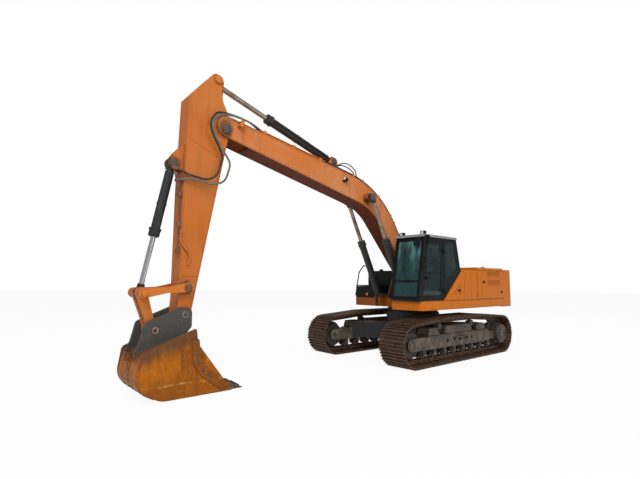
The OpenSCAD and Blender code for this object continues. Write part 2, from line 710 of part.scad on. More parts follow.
module cab_glass() {
    y0 = cab_right + window_margin + seat;
    y1 = cab_left - window_margin - seat;
    color(glass) {
        plate(screen_cut(-pane - glass_t, -pane, seat), y0, y1);
        plate(rear_cut(pane, pane + glass_t, seat), y0, y1);
        plate(rounded(inset(quarter, seat)), cab_left - pane - glass_t, cab_left - pane);
        plate(rounded(inset(right_window, seat)), cab_right + pane, cab_right + pane + glass_t);
    }
}

door_rim = 70;
module cab_door() {
    color(dark) difference() {
        union() {
            plate(rounded(door_outline(clear)), cab_left - cab_wall, cab_left);
            for (z = cab_hinge_z) {
                box([cab_hinge[0], cab_left + 8, z + 5], [cab_hinge[0] + 90, cab_left + 40, z + 60]);
                box([cab_hinge[0] + 40, cab_left - 5, z + 5], [cab_hinge[0] + 90, cab_left + 40, z + 60]);
            }
        }
        plate(rounded(inset(door_outline(clear), door_rim)), cab_left - 2 * cab_wall, cab_left + 1);
        for (z = cab_hinge_z)
            translate([cab_hinge[0], cab_hinge[1], z]) cylinder(r = hinge_r + run, h = 100);
    }
}
module door_glass() {
    color(glass) plate(rounded(inset(door_outline(clear), door_rim + seat)),
                       cab_left - pane - glass_t, cab_left - pane);
}

seat_half = (cab_left - cab_right) * 0.27;
console_y = (cab_left - cab_right) * 0.345;
console_half = (cab_left - cab_right) * 0.05;
module operator_seat() {
    y = (cab_left + cab_right) / 2;
    color(dark) {
        box([620, y - seat_half, cab_bottom + 300], [1130, y + seat_half, cab_bottom + 430]);
        box([760, y - 160, cab_bottom + cab_wall + seat], [1040, y + 160, cab_bottom + 300]);
        plate(rounded([[560, cab_bottom + 380, 40], [700, cab_bottom + 400, 40],
                       [560, cab_bottom + 1120, 50], [440, cab_bottom + 1120, 50]]),
              y - seat_half + 10, y + seat_half - 10);
    }
}
module control_consoles() {
    y = (cab_left + cab_right) / 2;
    color(dark) for (s = [-1, 1])
        box([740, y + s * console_y - console_half, cab_bottom + cab_wall + seat],
            [1150, y + s * console_y + console_half, cab_bottom + 560]);
}
// A round bar through points in space
module bar(p, r) {
    for (i = [0:len(p) - 2]) {
        d = p[i + 1] - p[i];
        translate(p[i]) rotate([0, acos(d[2] / norm(d)), atan2(d[1], d[0])]) cylinder(r = r, h = norm(d));
    }
    for (i = [1:len(p) - 2]) translate(p[i]) sphere(r = r * 1.25);
}
rail_r = 17;
rail_y = -deck_half_w - rail_r * 1.25 - seat;
rail = [[700, rail_y, deck_top - 60], [760, rail_y, deck_top + 90], [620, rail_y, deck_top + 740],
        [430, rail_y, deck_top + 950], [120, rail_y, deck_top + 950], [120, rail_y, panel_top - 80]];
module handrails() {
    color(dark) {
        bar(rail, rail_r);
        for (foot = [rail[0], rail[len(rail) - 1]])
            box([foot[0] - 30, rail_y - rail_r - 6, foot[2] - 30],
                [foot[0] + 30, -deck_half_w - seat, foot[2] + 30]);
    }
}
module work_lamps() {
    x = cab_front - screen_lean;
    z = cab_top + roof_t;
    color(dark) for (y = [cab_left - 110, cab_right + 110])
        box([x - 150, y - 60, z], [x - 60, y + 60, z + 90]);
}
module mirrors() {
    x = cab_front - screen_lean;
    color(dark) {
        box([x, cab_left + 10, cab_top + 10], [x + 20, cab_left + 70, cab_top + 30]);
        box([x - 5, cab_left + 40, cab_top - 190], [x + 25, cab_left + 150, cab_top + 30]);
    }
}

// Boom: two curved side plates joined by top and bottom plates, open at the fork
boom_tip_top = 225;
boom_corners = [[-210, -210, 120], [bend_x, bend_low, 1400],
                [boom_len + boom_boss_r, -boom_boss_r, boom_boss_r - 1],
                [boom_len + boom_boss_r, boom_tip_top, boom_boss_r - 1],
                [bend_x - 50, bend_top, 2500], [-210, 50, 100]];
function boom_top(u) = let (a = boom_corners[4], b = boom_corners[3])
    lerp(a[1], b[1], (u - a[0]) / (b[0] - a[0]));
module at_boom() { translate([F[0], 0, F[1]]) rotate([0, -boom_angle, 0]) children(); }
module at_stick() { translate([T[0], 0, T[1]]) rotate([0, -stick_turn, 0]) children(); }
module at_bucket() { translate([K[0], 0, K[1]]) children(); }
module boom() {
    inner = inset(boom_corners, boom_flange_t);
    fork_x = boom_len - fork_len;
    lug = [[arm_base_at[0] - 320, arm_base_at[1] - 300, 0], [arm_base_at[0] + 130, arm_base_at[1] - 330, 0],
           [arm_base_at[0] + 90, arm_base_at[1] + 90, 90], [arm_base_at[0] - 90, arm_base_at[1] + 90, 90]];
    wall = boom_half_w - boom_side_t;
    color(orange) at_boom() difference() {
        union() {
            difference() {
                plate(rounded(boom_corners, 16), -boom_half_w, boom_half_w);
                plate(rounded(inner, 16), -wall, wall);
                box([fork_x, -wall, -600], [boom_len + 400, wall, 900]);
            }
            shaft([0, 0], boom_boss_r, -boom_half_w, boom_half_w);
            plate([[fork_x - 40, 60], [fork_x - 15, 55], [fork_x - 15, 435], [fork_x - 40, 440]],
                  -wall - 5, wall + 5);
            shaft([boom_len, 0], pin_r, -boom_half_w - 40, boom_half_w + 40);
            mirrored() {
                shaft([boom_len, 0], 110, boom_half_w - 5, boom_half_w + 20);
                shaft(boom_rod_at, 100, boom_half_w - 10, cyl_y - eye_half_w - clear);
                plate(rounded(lug), arm_eye_half_w + clear, arm_eye_half_w + 40);
            }
            shaft(arm_base_at, pin_r, -arm_eye_half_w - 55, arm_eye_half_w + 55);
        }
        shaft([0, 0], pin_r + run, -boom_half_w - 10, boom_half_w + 10);
    }
}
// Steel lines on the boom's top with their clamps, and the guide that hands the hoses to the stick
line_r = 16;
line_rise = 45;
line_y = [150, 205];
line_u = [boom_len - 2380, boom_len - 650];
clamp_u = [for (back = [2280, 1530, 780]) boom_len - back];
module boom_lines() {
    color(dark) at_boom() {
        for (y = line_y)
            bar([for (u = line_u) [u, y, boom_top(u) + line_rise]], line_r);
        for (u = clamp_u)
            plate([[u, boom_top(u) + seat], [u + 60, boom_top(u + 60) + seat],
                   [u + 60, boom_top(u + 60) + line_rise + 25], [u, boom_top(u) + line_rise + 25]],
                  line_y[0] - 30, line_y[1] + 30);
        box([boom_len - 240, boom_half_w + seat, 200], [boom_len - 180, boom_half_w + 95, 355]);
    }
}

// Cylinders: a barrel with its base eye and gland, and a rod with its own eye
module barrel(r, rod_r, len, eye_w) {
    difference() {
        union() {
            shaft([0, 0], 115, -eye_w, eye_w);
            rod_x(eye_w, 60, 160);
            rod_x(r, 150, len);
            rod_x(r + 16, len - 130, len);
        }
        shaft([0, 0], pin_r + run, -eye_w - 1, eye_w + 1);
        rod_x(rod_r + run, 170, len + 10);
        rod_x(r - 18, 170, len - 120);
    }
}
module piston_rod(rod_r, start, len, eye_w, eye_r) {
    rod_x(rod_r, start, len - 40);
    shaft([len, 0], eye_r, -eye_w, eye_w);
}
boom_cyl_len = span(base_pin, Q);
arm_cyl_len = span(A, S);
bucket_cyl_len = span(B, G);
module boom_cylinder_barrels() {
    color(dark) for (s = [-1, 1]) translate([0, s * cyl_y, 0]) along(base_pin, Q)
        barrel(boom_cyl_r, boom_rod_r, boom_barrel_len, eye_half_w);
}
module boom_cylinder_rods() {
    color(steel) for (s = [-1, 1]) translate([0, s * cyl_y, 0]) along(base_pin, Q)
        piston_rod(boom_rod_r, boom_barrel_len - 700, boom_cyl_len, eye_half_w, 100);
}
arm_eye_half_w = eye_half_w + 20;
module arm_cylinder_barrel() {
    color(dark) along(A, S) barrel(arm_cyl_r, arm_rod_r, arm_barrel_len, arm_eye_half_w);
}
module arm_cylinder_rod() {
    color(steel) along(A, S) piston_rod(arm_rod_r, arm_barrel_len - 710, arm_cyl_len, arm_eye_half_w, 95);
}
rod_lane = 62;
module bucket_cylinder_barrel() {
    color(dark) along(B, G) barrel(bucket_cyl_r, bucket_rod_r, bucket_barrel_len, rod_lane);
}
module bucket_cylinder_rod() {
    color(steel) along(B, G) piston_rod(bucket_rod_r, bucket_barrel_len - 670, bucket_cyl_len, rod_lane, 95);
}

// Stick: a tapered box with ears for the arm cylinder and a lug for the bucket cylinder
stick_corners = [[-60, -105, 250], [stick_len + nose_r, -115, 110], [stick_len + nose_r, 125, 110],
                 [stick_len - 245, 160, 200], [1340, 545, 1500], [-330, 820, 60], [-1035, 440, 95],
                 [-960, 235, 95], [-560, 184, 300], [-365, 35, 200]];
ear_lane = arm_eye_half_w + clear;
stick_boss_half = boom_half_w - boom_side_t - clear;
ear_y0 = stick_half_w + clear;
idler_y0 = ear_y0 + ear_t + clear;
idler_y1 = idler_y0 + 45;
module stick() {
    inner = inset(stick_corners, stick_flange_t);
    color(orange) at_stick() difference() {
        union() {
            difference() {
                plate(rounded(stick_corners, 10), -stick_half_w, stick_half_w);
                plate(rounded(inner, 10), -stick_half_w + stick_side_t, stick_half_w - stick_side_t);
                box([-1200, -ear_lane - 40, -300], [-420, ear_lane + 40, 1000]);
            }
            shaft([0, 0], 190, -stick_boss_half, stick_boss_half);
            shaft([stick_len, 0], nose_r, -stick_half_w, stick_half_w);
            shaft(idler_at, 95, -idler_y0 + clear, idler_y0 - clear);
            shaft(idler_at, 50, -idler_y1 - 15, idler_y1 + 15);
            mirrored() {
                shaft([-ear_x, ear_y], 95, ear_lane, stick_half_w + 15);
                plate(rounded([[480, 620, 0], [1070, 520, 0], [1100, 790, 80], [1040, 880, 85],
                               [800, 800, 200]]), rod_lane + clear, rod_lane + 50);
            }
            shaft(bucket_base_at, pin_r, -rod_lane - 65, rod_lane + 65);
        }
        shaft([0, 0], pin_r + run, -boom_half_w, boom_half_w);
        shaft([stick_len, 0], pin_r + run, -boom_half_w, boom_half_w);
    }
}
// Steel line down the stick's front, and the fittings where the hoses end
module fitting(route, r, len) {
    q = route[len(route) - 1];
    d = unit(q - route[len(route) - 2]);
    bar([q + d * 3, q + d * len], r);
}
module stick_lines() {
    color(dark) {
        fitting(inner_route, 24, 60);
        fitting(outer_route, 24, 60);
        at_stick() {
            box([1062, rod_lane + 50 + seat, 725], [1122, 165, 800]);
            box([1262, 105, stick_front(1262) + seat], [1325, 158, 690]);
            bar([[1095, 140, 762], [1530, 140, stick_front(1530) + 48]], 14);
            bar([[1530, 140, stick_front(1530) + 45], [2600, 140, stick_front(2600) + 45]], 14);
            for (u = [1495, 2040, 2520])
                plate([[u, stick_front(u) + seat], [u + 70, stick_front(u + 70) + seat],
                       [u + 70, stick_front(u + 70) + 78], [u, stick_front(u) + 78]], 108, 172);
        }
    }
}
function stick_front(u) = let (a = stick_corners[4], b = stick_corners[3])
    lerp(a[1], b[1], (u - a[0]) / (b[0] - a[0]));

// Bucket linkage
module idler_links() {
    a = heading(I, G);
    l = span(I, G);
    color(orange) mirrored() translate([I[0], 0, I[1]]) rotate([0, -a, 0]) difference() {
        union() {
            plate(rounded([[-95, -95, 80], [l * 0.5, -50, 300], [l + 95, -95, 80],
                           [l + 95, 95, 80], [l * 0.5, 50, 300], [-95, 95, 80]]), idler_y0, idler_y1);
            shaft([l, 0], 45, rod_lane + clear, idler_y1);
        }
        shaft([0, 0], 50 + run, idler_y0 - 1, idler_y1 + 1);
    }
}
link_arm_y0 = rod_lane + clear;
link_arm_y1 = link_arm_y0 + 80;
link_foot_y = stick_half_w - clear;
module power_link() {
    a = heading(G, E);
    l = span(G, E);
    color(orange) translate([G[0], 0, G[1]]) rotate([0, -a, 0]) difference() {
        union() {
            mirrored() plate(rounded([[-95, -95, 80], [l * 0.6, -70, 100], [l, -80, 40], [l, 80, 40],
                                      [l * 0.6, 70, 100], [-95, 95, 80]]), link_arm_y0, link_arm_y1);
            shaft([l, 0], 85, -link_foot_y, link_foot_y);
        }
        mirrored() shaft([0, 0], 45 + run, 0, link_foot_y + 10);
    }
}

// Bucket: side plates, a wrapper bent round the heel, and the ears
bucket_floor = -bucket_h;
bucket_half_w = bucket_w / 2;
bucket_side = [[-90, -215, 30], [-185, -880, 560], [-745, bucket_floor + 95, 40], [-800, bucket_floor, 10],
               [470, bucket_floor, 380], [900, bucket_floor + 215, 330], [810, -560, 100], [60, -270, 60]];
wrapper = [[-800, bucket_floor, 0], [470, bucket_floor, 380], [900, bucket_floor + 215, 330],
           [790, -600, 120], [-20, -330, 0]];
cutter = [[-135, -400, 0], [-203, -872, 540], [-752, bucket_floor + 115, 0], [-560, bucket_floor + 60, 0],
          [-60, -930, 560], [0, -400, 0]];
eye_at = [862, -665];
eye_r = 28;
module bucket_room(y0, y1) {
    low = bucket_floor + bucket_t;
    mouth = wrapper[4] - [10, bucket_t, 0];
    plate(concat([[-900, low]], wrapper_inner(), [flat(mouth), [-900, mouth[1]]]), y0, y1);
}
module bucket() {
    side = bucket_half_w - bucket_t;
    ear = [[-125, -215, 60], [80, -460, 60], [800, -700, 40], [850, -600, 40], [770, -440, 80],
           [690, -110, 70], [100, 125, 100], [-125, 125, 110]];
    color(rust) at_bucket() {
        mirrored() {
            plate(rounded(bucket_side, 10), side, bucket_half_w);
            plate(rounded(cutter, 10), bucket_half_w - 2, bucket_half_w + 20);
        }
        difference() {
            union() {
                plate(rounded(wrapper, 10), -side - 1, side + 1);
                mirrored() plate(rounded(ear), ear_y0, ear_y0 + ear_t);
            }
            bucket_room(-side, side);
        }
        shaft([0, 0], pin_r, -ear_y0 - ear_t - 2, ear_y0 + ear_t + 2);
        mirrored() shaft(bucket_ear_at, 90, ear_y0 + 2, ear_y0 + ear_t + 2);
        difference() {
            plate(rounded([[740, -780, 0], [915, -730, 40], [915, -600, 60], [730, -590, 0]]), -25, 25);
            shaft(eye_at, eye_r, -60, 60);
            bucket_room(-60, 60);
        }
    }
}
function wrapper_inner() =
    let (q = inset(wrapper, bucket_t))
    [for (i = [1:3]) each corner(q[i - 1], q[i], q[i + 1], 10)];
module bucket_teeth() {
    pitch = (bucket_w - tooth_w - 80) / (tooth_count - 1);
    top = bucket_floor + bucket_t + seat;
    color(steel) at_bucket() for (i = [0:tooth_count - 1]) {
        y = -pitch * (tooth_count - 1) / 2 + pitch * i;
        plate([[-800 - seat, bucket_floor], [-800 - seat, top], [-620, top], [-640, top + 55],
               [-800, top + 95], [-1020, bucket_floor + 16], [-1020, bucket_floor]],
              y - tooth_w / 2, y + tooth_w / 2);
    }
}

// Hoses that hang in a loop from the boom's tip to the stick
hose_r = 20;
function from_tip(points) = [for (p = points) p + [T[0] - 6117, 0, T[1] - 4917]];
outer_route = from_tip([
    [5307, 205, 5094], [5440, 255, 5120], [5600, 290, 5155], [5790, 302, 5182], [5998, 306, 5189],
    [6211, 315, 5162], [6350, 340, 5090], [6460, 380, 4930], [6450, 380, 4790], [6390, 370, 4670],
    [6270, 360, 4490], [6140, 360, 4320], [6080, 360, 4210], [6090, 360, 4090], [6180, 350, 3850],
    [6400, 340, 3750], [6580, 330, 3770], [6740, 305, 3800], [6855, 270, 3790], [6970, 186, 3780]]);
inner_route = from_tip([
    [5307, 150, 5094], [5440, 205, 5134], [5580, 245, 5172], [5760, 258, 5205], [5976, 262, 5222],
    [6187, 268, 5217], [6350, 285, 5160], [6470, 320, 4960], [6460, 320, 4820], [6400, 310, 4700],
    [6310, 300, 4550], [6230, 290, 4410], [6200, 290, 4300], [6230, 290, 4200], [6310, 290, 3950],
    [6500, 280, 3840], [6670, 270, 3850], [6840, 255, 3880], [6940, 232, 3925], [7020, 185, 3960]]);
function between(a, b, c, d, t) =
    0.5 * ((2 * b) + (c - a) * t + (2 * a - 5 * b + 4 * c - d) * t * t + (3 * b - a - 3 * c + d) * t * t * t);
function smooth(p) =
    [for (i = [0:len(p) - 2]) for (t = [0, 0.5])
        between(p[max(i - 1, 0)], p[i], p[i + 1], p[min(i + 2, len(p) - 1)], t), p[len(p) - 1]];
module hose(route, r) {
    sides = 8;
    p = smooth(route);
    n = len(p);
    rings = [for (i = [0:n - 1])
        let (d = unit(p[min(i + 1, n - 1)] - p[max(i - 1, 0)]),
             u = unit(cross(d, [0, 1, 0])), v = cross(d, u))
        for (k = [0:sides - 1]) p[i] + r * (u * cos(360 * k / sides) + v * sin(360 * k / sides))];
    walls = [for (i = [0:n - 2]) for (k = [0:sides - 1])
        let (a = i * sides + k, b = i * sides + (k + 1) % sides) [a, a + sides, b + sides, b]];
    polyhedron(rings, concat(walls, [[for (k = [0:sides - 1]) k],
                                     [for (k = [sides - 1:-1:0]) (n - 1) * sides + k]]));
}
module stick_hose_outer() { color(dark) hose(outer_route, hose_r); }
module stick_hose_inner() { color(dark) hose(inner_route, hose_r); }

carbody();
slew_ring();
track_frame_left();
track_frame_right();
track_left();
track_right();
front_idlers();
drive_sprockets();
track_rollers();
carrier_rollers();
revolving_frame();
counterweight();
lift_eyes();
engine();
fuel_tank();
hydraulic_tank();
left_panel();
deck_cover();
tool_box();
cab_frame();
cab_roof();
cab_glass();
operator_seat();
control_consoles();
handrails();
work_lamps();
mirrors();
cab_door();
door_glass();
engine_hood();
left_side_door();
right_pump_door();
tool_box_lid();
boom();
boom_lines();
boom_cylinder_barrels();
boom_cylinder_rods();
arm_cylinder_barrel();
arm_cylinder_rod();
stick();
stick_lines();
bucket_cylinder_barrel();
bucket_cylinder_rod();
idler_links();
power_link();
bucket();
bucket_teeth();
stick_hose_outer();
stick_hose_inner();
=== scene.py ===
# %% [markdown]
# # A crawler excavator, dressed in Blender
# The CAD model of the excavator is loaded as a fixed frame: every node is already in its place, in
# metres, with +X forward, +Y to the cab's side and +Z up. This lesson adds what the solids lack:
# painted and rusted finishes, track shoes, hoses, bolts, seams, lamps and the furniture of the cab.

# %% Load the frame
import math

import bpy
from mathutils import Matrix, Vector


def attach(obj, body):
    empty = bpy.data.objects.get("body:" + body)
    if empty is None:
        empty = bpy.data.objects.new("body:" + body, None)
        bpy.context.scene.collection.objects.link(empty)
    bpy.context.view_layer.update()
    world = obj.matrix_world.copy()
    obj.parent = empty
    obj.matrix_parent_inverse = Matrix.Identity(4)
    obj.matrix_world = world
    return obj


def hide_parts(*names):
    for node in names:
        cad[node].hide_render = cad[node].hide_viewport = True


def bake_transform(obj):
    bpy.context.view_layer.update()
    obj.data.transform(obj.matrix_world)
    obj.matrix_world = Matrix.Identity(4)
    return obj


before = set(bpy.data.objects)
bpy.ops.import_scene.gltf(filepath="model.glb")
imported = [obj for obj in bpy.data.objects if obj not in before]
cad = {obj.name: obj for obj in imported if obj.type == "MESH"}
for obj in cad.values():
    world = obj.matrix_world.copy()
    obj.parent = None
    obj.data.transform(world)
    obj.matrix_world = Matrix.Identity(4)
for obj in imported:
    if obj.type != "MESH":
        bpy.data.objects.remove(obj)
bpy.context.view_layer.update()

# %% [markdown]
# ## Camera
# The photograph was taken from the machine's front left, low and close, with a wide lens. Its place was
# worked out from pins and edges that the photo shows. A camera looks along its own -Z, so the matrix
# below is made of three columns: right, up and backwards.

# %% Camera
EYE = Vector((9.8299, 7.4716, 1.9491))
YAW, PITCH, ROLL = (math.radians(a) for a in (229.648, 5.785, 0.3475))
look = Vector((math.cos(PITCH) * math.cos(YAW), math.cos(PITCH) * math.sin(YAW), math.sin(PITCH)))
level_right = look.cross(Vector((0, 0, 1))).normalized()
level_up = level_right.cross(look)
right = level_right * math.cos(ROLL) + level_up * math.sin(ROLL)
up = level_up * math.cos(ROLL) - level_right * math.sin(ROLL)

camera_data = bpy.data.cameras.new("photo_camera")
camera_data.sensor_width = 36.0
camera_data.sensor_fit = "HORIZONTAL"
camera_data.lens = 417.407 / 640 * camera_data.sensor_width
camera_data.clip_end = 500
camera = bpy.data.objects.new("photo_camera", camera_data)
turn = Matrix((right, up, -look)).transposed().to_4x4()
camera.matrix_world = Matrix.Translation(EYE) @ turn
bpy.context.scene.collection.objects.link(camera)
bpy.context.scene.camera = camera
bpy.context.scene.view_settings.view_transform = "Standard"
print("camera lens", round(camera_data.lens, 2), "mm")

# %% [markdown]
# ## Shader maths
# A finish is a small graph of nodes. Writing `rust * 0.5 + dust` is easier to read than wiring Math
# nodes by hand, so `Wire` wraps a socket and turns each operator into a Math node. Every other node
# comes from `Finish.node`, which takes the node's type, its settings and its sockets.


# %% Wires
class Wire:
    def __init__(self, finish, socket):
        self.finish = finish
        self.socket = socket

    def math(self, operation, *values):
        sockets = dict(enumerate(values))
        return self.finish.node("ShaderNodeMath", {"operation": operation}, sockets)

    def __add__(self, other):
        return self.math("ADD", self, other)

    __radd__ = __add__

    def __sub__(self, other):
        return self.math("SUBTRACT", self, other)

    def __rsub__(self, other):
        return self.math("SUBTRACT", other, self)

    def __mul__(self, other):
        return self.math("MULTIPLY", self, other)

    __rmul__ = __mul__

    def between(self, low, high):
        """0 below low, 1 above high, and a smooth step from one to the other."""
        settings = {"interpolation_type": "SMOOTHSTEP"}
        sockets = {"Value": self, "From Min": low, "From Max": high}
        return self.finish.node("ShaderNodeMapRange", settings, sockets)


print("shader maths ready")


# %% Finishes
class Finish:
    def __init__(self, name):
        self.material = bpy.data.materials.new(name)
        self.material.use_nodes = True
        self.tree = self.material.node_tree
        self.shader = self.tree.nodes["Principled BSDF"]
        self.place = self.node("ShaderNodeTexCoord", output="Object")

    def node(self, kind, settings=None, sockets=None, output=0):
        made = self.tree.nodes.new(kind)
        for key, value in (settings or {}).items():
            setattr(made, key, value)
        for key, value in (sockets or {}).items():
            self.feed(made.inputs[key], value)
        return Wire(self, made.outputs[output])

    def feed(self, socket, value):
        if isinstance(value, Wire):
            self.tree.links.new(value.socket, socket)
        else:
            socket.default_value = value

    def stretched(self, scale, turn=(0, 0, 0)):
        sockets = {"Vector": self.place, "Scale": scale, "Rotation": turn}
        return self.node("ShaderNodeMapping", None, sockets)

    def noise(self, scale, detail=4.0, roughness=0.55, place=None):
        sockets = {"Vector": place or self.place, "Scale": scale, "Detail": detail, "Roughness": roughness}
        return self.node("ShaderNodeTexNoise", None, sockets)

    def mix(self, factor, low, high):
        """Colour low where factor is 0, high where it is 1."""
        return self.node("ShaderNodeMix", {"data_type": "RGBA"}, {0: factor, 6: low, 7: high}, output=2)

    def axis(self, name):
        return self.node("ShaderNodeSeparateXYZ", None, {"Vector": self.place}, output=name)

    def edges(self, radius):
        """1 on edges, 0 on flat faces: how far a bevelled normal leans from the true one."""
        soft = self.node("ShaderNodeBevel", {"samples": 4}, {"Radius": radius})
        true = self.node("ShaderNodeNewGeometry", None, None, output="Normal")
        lean = self.node("ShaderNodeVectorMath", {"operation": "DOT_PRODUCT"}, {0: soft, 1: true},
                         output="Value")
        return (1 - lean).between(0.03, 0.25)

    def crevices(self, distance):
        """1 deep in a corner, 0 in the open."""
        open_sky = self.node("ShaderNodeAmbientOcclusion", {"samples": 6}, {"Distance": distance},
                             output="AO")
        return 1 - open_sky

    def facing_up(self):
        true = self.node("ShaderNodeNewGeometry", None, None, output="Normal")
        return self.node("ShaderNodeSeparateXYZ", None, {"Vector": true}, output="Z")

    def bump(self, height, distance, strength=1.0):
        sockets = {"Height": height, "Distance": distance, "Strength": strength}
        return self.node("ShaderNodeBump", None, sockets)

    def surface(self, **sockets):
        for name, value in sockets.items():
            self.feed(self.shader.inputs[name.replace("_", " ")], value)
        return self.material


print("finish class ready")


# %% Colours
def tone(red, green, blue):
    """A colour as a screen shows it, 0 to 255, turned into the linear numbers that shaders use."""
    shares = [c / 255 for c in (red, green, blue)]
    linear = [((c + 0.055) / 1.055) ** 2.4 if c > 0.04 else c / 12.92 for c in shares]
    return (*linear, 1.0)


print("middle grey in linear numbers:", [round(c, 3) for c in tone(128, 128, 128)])

# %% [markdown]
# ## Studio
# The photo's background is plain white. The floor is a pale sheet that shows white to the camera and to
# reflections, but it is still a real floor for light, so it keeps a soft shadow. Three large soft lamps
# and a pale world give the even daylight of an open yard.

# %% Floor
WHITE_SHARE = 0.932


def light_path(finish, *kinds):
    """1 for the kinds of ray that are named, 0 for all others."""
    rays = [finish.node("ShaderNodeLightPath", None, None, output=kind) for kind in kinds]
    seen = rays[0]
    for ray in rays[1:]:
        seen = seen.math("MAXIMUM", seen, ray)
    return seen


bpy.ops.object.select_all(action="DESELECT")
bpy.ops.mesh.primitive_circle_add(vertices=64, radius=90, fill_type="NGON", location=(0, 0, -0.002))
floor = bpy.context.object
floor.name = "studio_floor"
floor_finish = Finish("studio_floor")
floor_finish.surface(Base_Color=(0.80, 0.80, 0.80, 1), Roughness=0.9)
shown_white = floor_finish.node("ShaderNodeEmission", None, {"Color": (1, 1, 1, 1), "Strength": 1.0})
seen = light_path(floor_finish, "Is Camera Ray", "Is Glossy Ray", "Is Transmission Ray")
lit_floor = Wire(floor_finish, floor_finish.shader.outputs[0])
veil = floor_finish.node("ShaderNodeMixShader", None, {0: seen * WHITE_SHARE, 1: lit_floor, 2: shown_white})
floor_finish.feed(floor_finish.tree.nodes["Material Output"].inputs["Surface"], veil)
floor.data.materials.append(floor_finish.material)
print("floor radius", floor.dimensions.x / 2, "m")

# %% Sky and lamps
world = bpy.data.worlds.new("studio_world")
bpy.context.scene.world = world
world.use_nodes = True
sky = world.node_tree
sky_light = sky.nodes["Background"]
sky_light.inputs["Color"].default_value = (0.93, 0.96, 1.0, 1)
sky_light.inputs["Strength"].default_value = 0.42
sky_white = sky.nodes.new("ShaderNodeBackground")
sky_white.inputs["Color"].default_value = (1, 1, 1, 1)
sky_rays = sky.nodes.new("ShaderNodeLightPath")
sky_seen = sky.nodes.new("ShaderNodeMath")
sky_seen.operation = "MAXIMUM"
sky.links.new(sky_rays.outputs["Is Camera Ray"], sky_seen.inputs[0])
sky.links.new(sky_rays.outputs["Is Transmission Ray"], sky_seen.inputs[1])
sky_pick = sky.nodes.new("ShaderNodeMixShader")
sky.links.new(sky_seen.outputs[0], sky_pick.inputs[0])
sky.links.new(sky_light.outputs[0], sky_pick.inputs[1])
sky.links.new(sky_white.outputs[0], sky_pick.inputs[2])
sky.links.new(sky_pick.outputs[0], sky.nodes["World Output"].inputs["Surface"])


def soft_lamp(name, place, target, size, watts):
    data = bpy.data.lights.new(name, "AREA")
    data.shape = "DISK"
    data.size = size
    data.energy = watts
    lamp = bpy.data.objects.new(name, data)
    lamp.location = place
    lamp.rotation_euler = (Vector(target) - Vector(place)).to_track_quat("-Z", "Y").to_euler()
    bpy.context.scene.collection.objects.link(lamp)
    return lamp


soft_lamp("key_lamp", (14, 9, 15), (3, 0, 2), 9, 2000)
soft_lamp("fill_lamp", (2, 16, 9), (1, 0, 2), 10, 720)
soft_lamp("back_lamp", (-9, -10, 14), (0, 0, 2), 9, 900)

# %% [markdown]
# ## Modelling helpers
# Each new piece starts as a primitive, is shaped in edit mode and is finished with applied modifiers.
# The helpers below do the steps that every piece needs. They deselect everything first, because an
# operator acts on all that is selected.


# %% Helpers for pieces
SHARP = math.radians(35)
PIPE_SHARP = math.radians(40)


def deselect():
    if bpy.context.object and bpy.context.object.mode != "OBJECT":
        bpy.ops.object.mode_set(mode="OBJECT")
    bpy.ops.object.select_all(action="DESELECT")


def activate(piece):
    deselect()
    piece.select_set(True)
    bpy.context.view_layer.objects.active = piece
    return piece


def settle(piece, name):
    """The place, turn and scale go into the mesh, and the object goes back to the origin."""
    piece.name = name
    activate(piece)
    bpy.ops.object.transform_apply(location=True, rotation=True, scale=True)
    return piece


def applied(piece, kind, **settings):
    activate(piece)
    modifier = piece.modifiers.new(kind.lower(), kind)
    for key, value in settings.items():
        setattr(modifier, key, value)
    bpy.ops.object.modifier_apply(modifier=modifier.name)
    return piece


def rounded(piece, width, steps=2):
    return applied(piece, "BEVEL", width=width, segments=steps, limit_method="ANGLE", angle_limit=SHARP)


def block(name, low, high, round_by=0.0, steps=2):
    low, high = Vector(low), Vector(high)
    deselect()
    bpy.ops.mesh.primitive_cube_add(size=1, location=(low + high) / 2)
    piece = bpy.context.object
    piece.scale = high - low
    settle(piece, name)
    return rounded(piece, round_by, steps) if round_by else piece


def drum(name, start, end, radius, sides=32, round_by=0.0):
    start, end = Vector(start), Vector(end)
    heading = (end - start).to_track_quat("Z", "Y").to_euler()
    deselect()
    bpy.ops.mesh.primitive_cylinder_add(vertices=sides, radius=radius, depth=(end - start).length,
                                        location=(start + end) / 2, rotation=heading)
    piece = settle(bpy.context.object, name)
    return rounded(piece, round_by) if round_by else piece


print("helpers for blocks and drums ready")


# %% Helpers for edit mode and copies
def edit_faces(piece, chosen):
    """Edit mode with only the faces selected that chosen(face) names."""
    activate(piece)
    bpy.context.tool_settings.mesh_select_mode = (False, False, True)
    bpy.ops.object.mode_set(mode="EDIT")
    bpy.ops.mesh.select_all(action="DESELECT")
    bpy.ops.object.mode_set(mode="OBJECT")
    for face in piece.data.polygons:
        face.select = bool(chosen(face))
    bpy.ops.object.mode_set(mode="EDIT")


def inset(piece, chosen, border, depth):
    edit_faces(piece, chosen)
    bpy.ops.mesh.inset(thickness=border, depth=depth)
    bpy.ops.object.mode_set(mode="OBJECT")
    return piece


def extrude(piece, chosen, move, shrink=1.0):
    edit_faces(piece, chosen)
    bpy.ops.mesh.extrude_region_move(TRANSFORM_OT_translate={"value": move})
    if shrink != 1.0:
        bpy.ops.transform.resize(value=(shrink, shrink, shrink))
    bpy.ops.object.mode_set(mode="OBJECT")
    return piece


def joined(name, pieces):
    deselect()
    for piece in pieces:
        piece.select_set(True)
    bpy.context.view_layer.objects.active = pieces[0]
    if len(pieces) > 1:
        bpy.ops.object.join()
    pieces[0].name = name
    return pieces[0]


def copied(piece, matrix):
    twin = piece.copy()
    twin.data = piece.data.copy()
    twin.data.transform(matrix)
    bpy.context.scene.collection.objects.link(twin)
    return twin


print("helpers for edit mode ready")


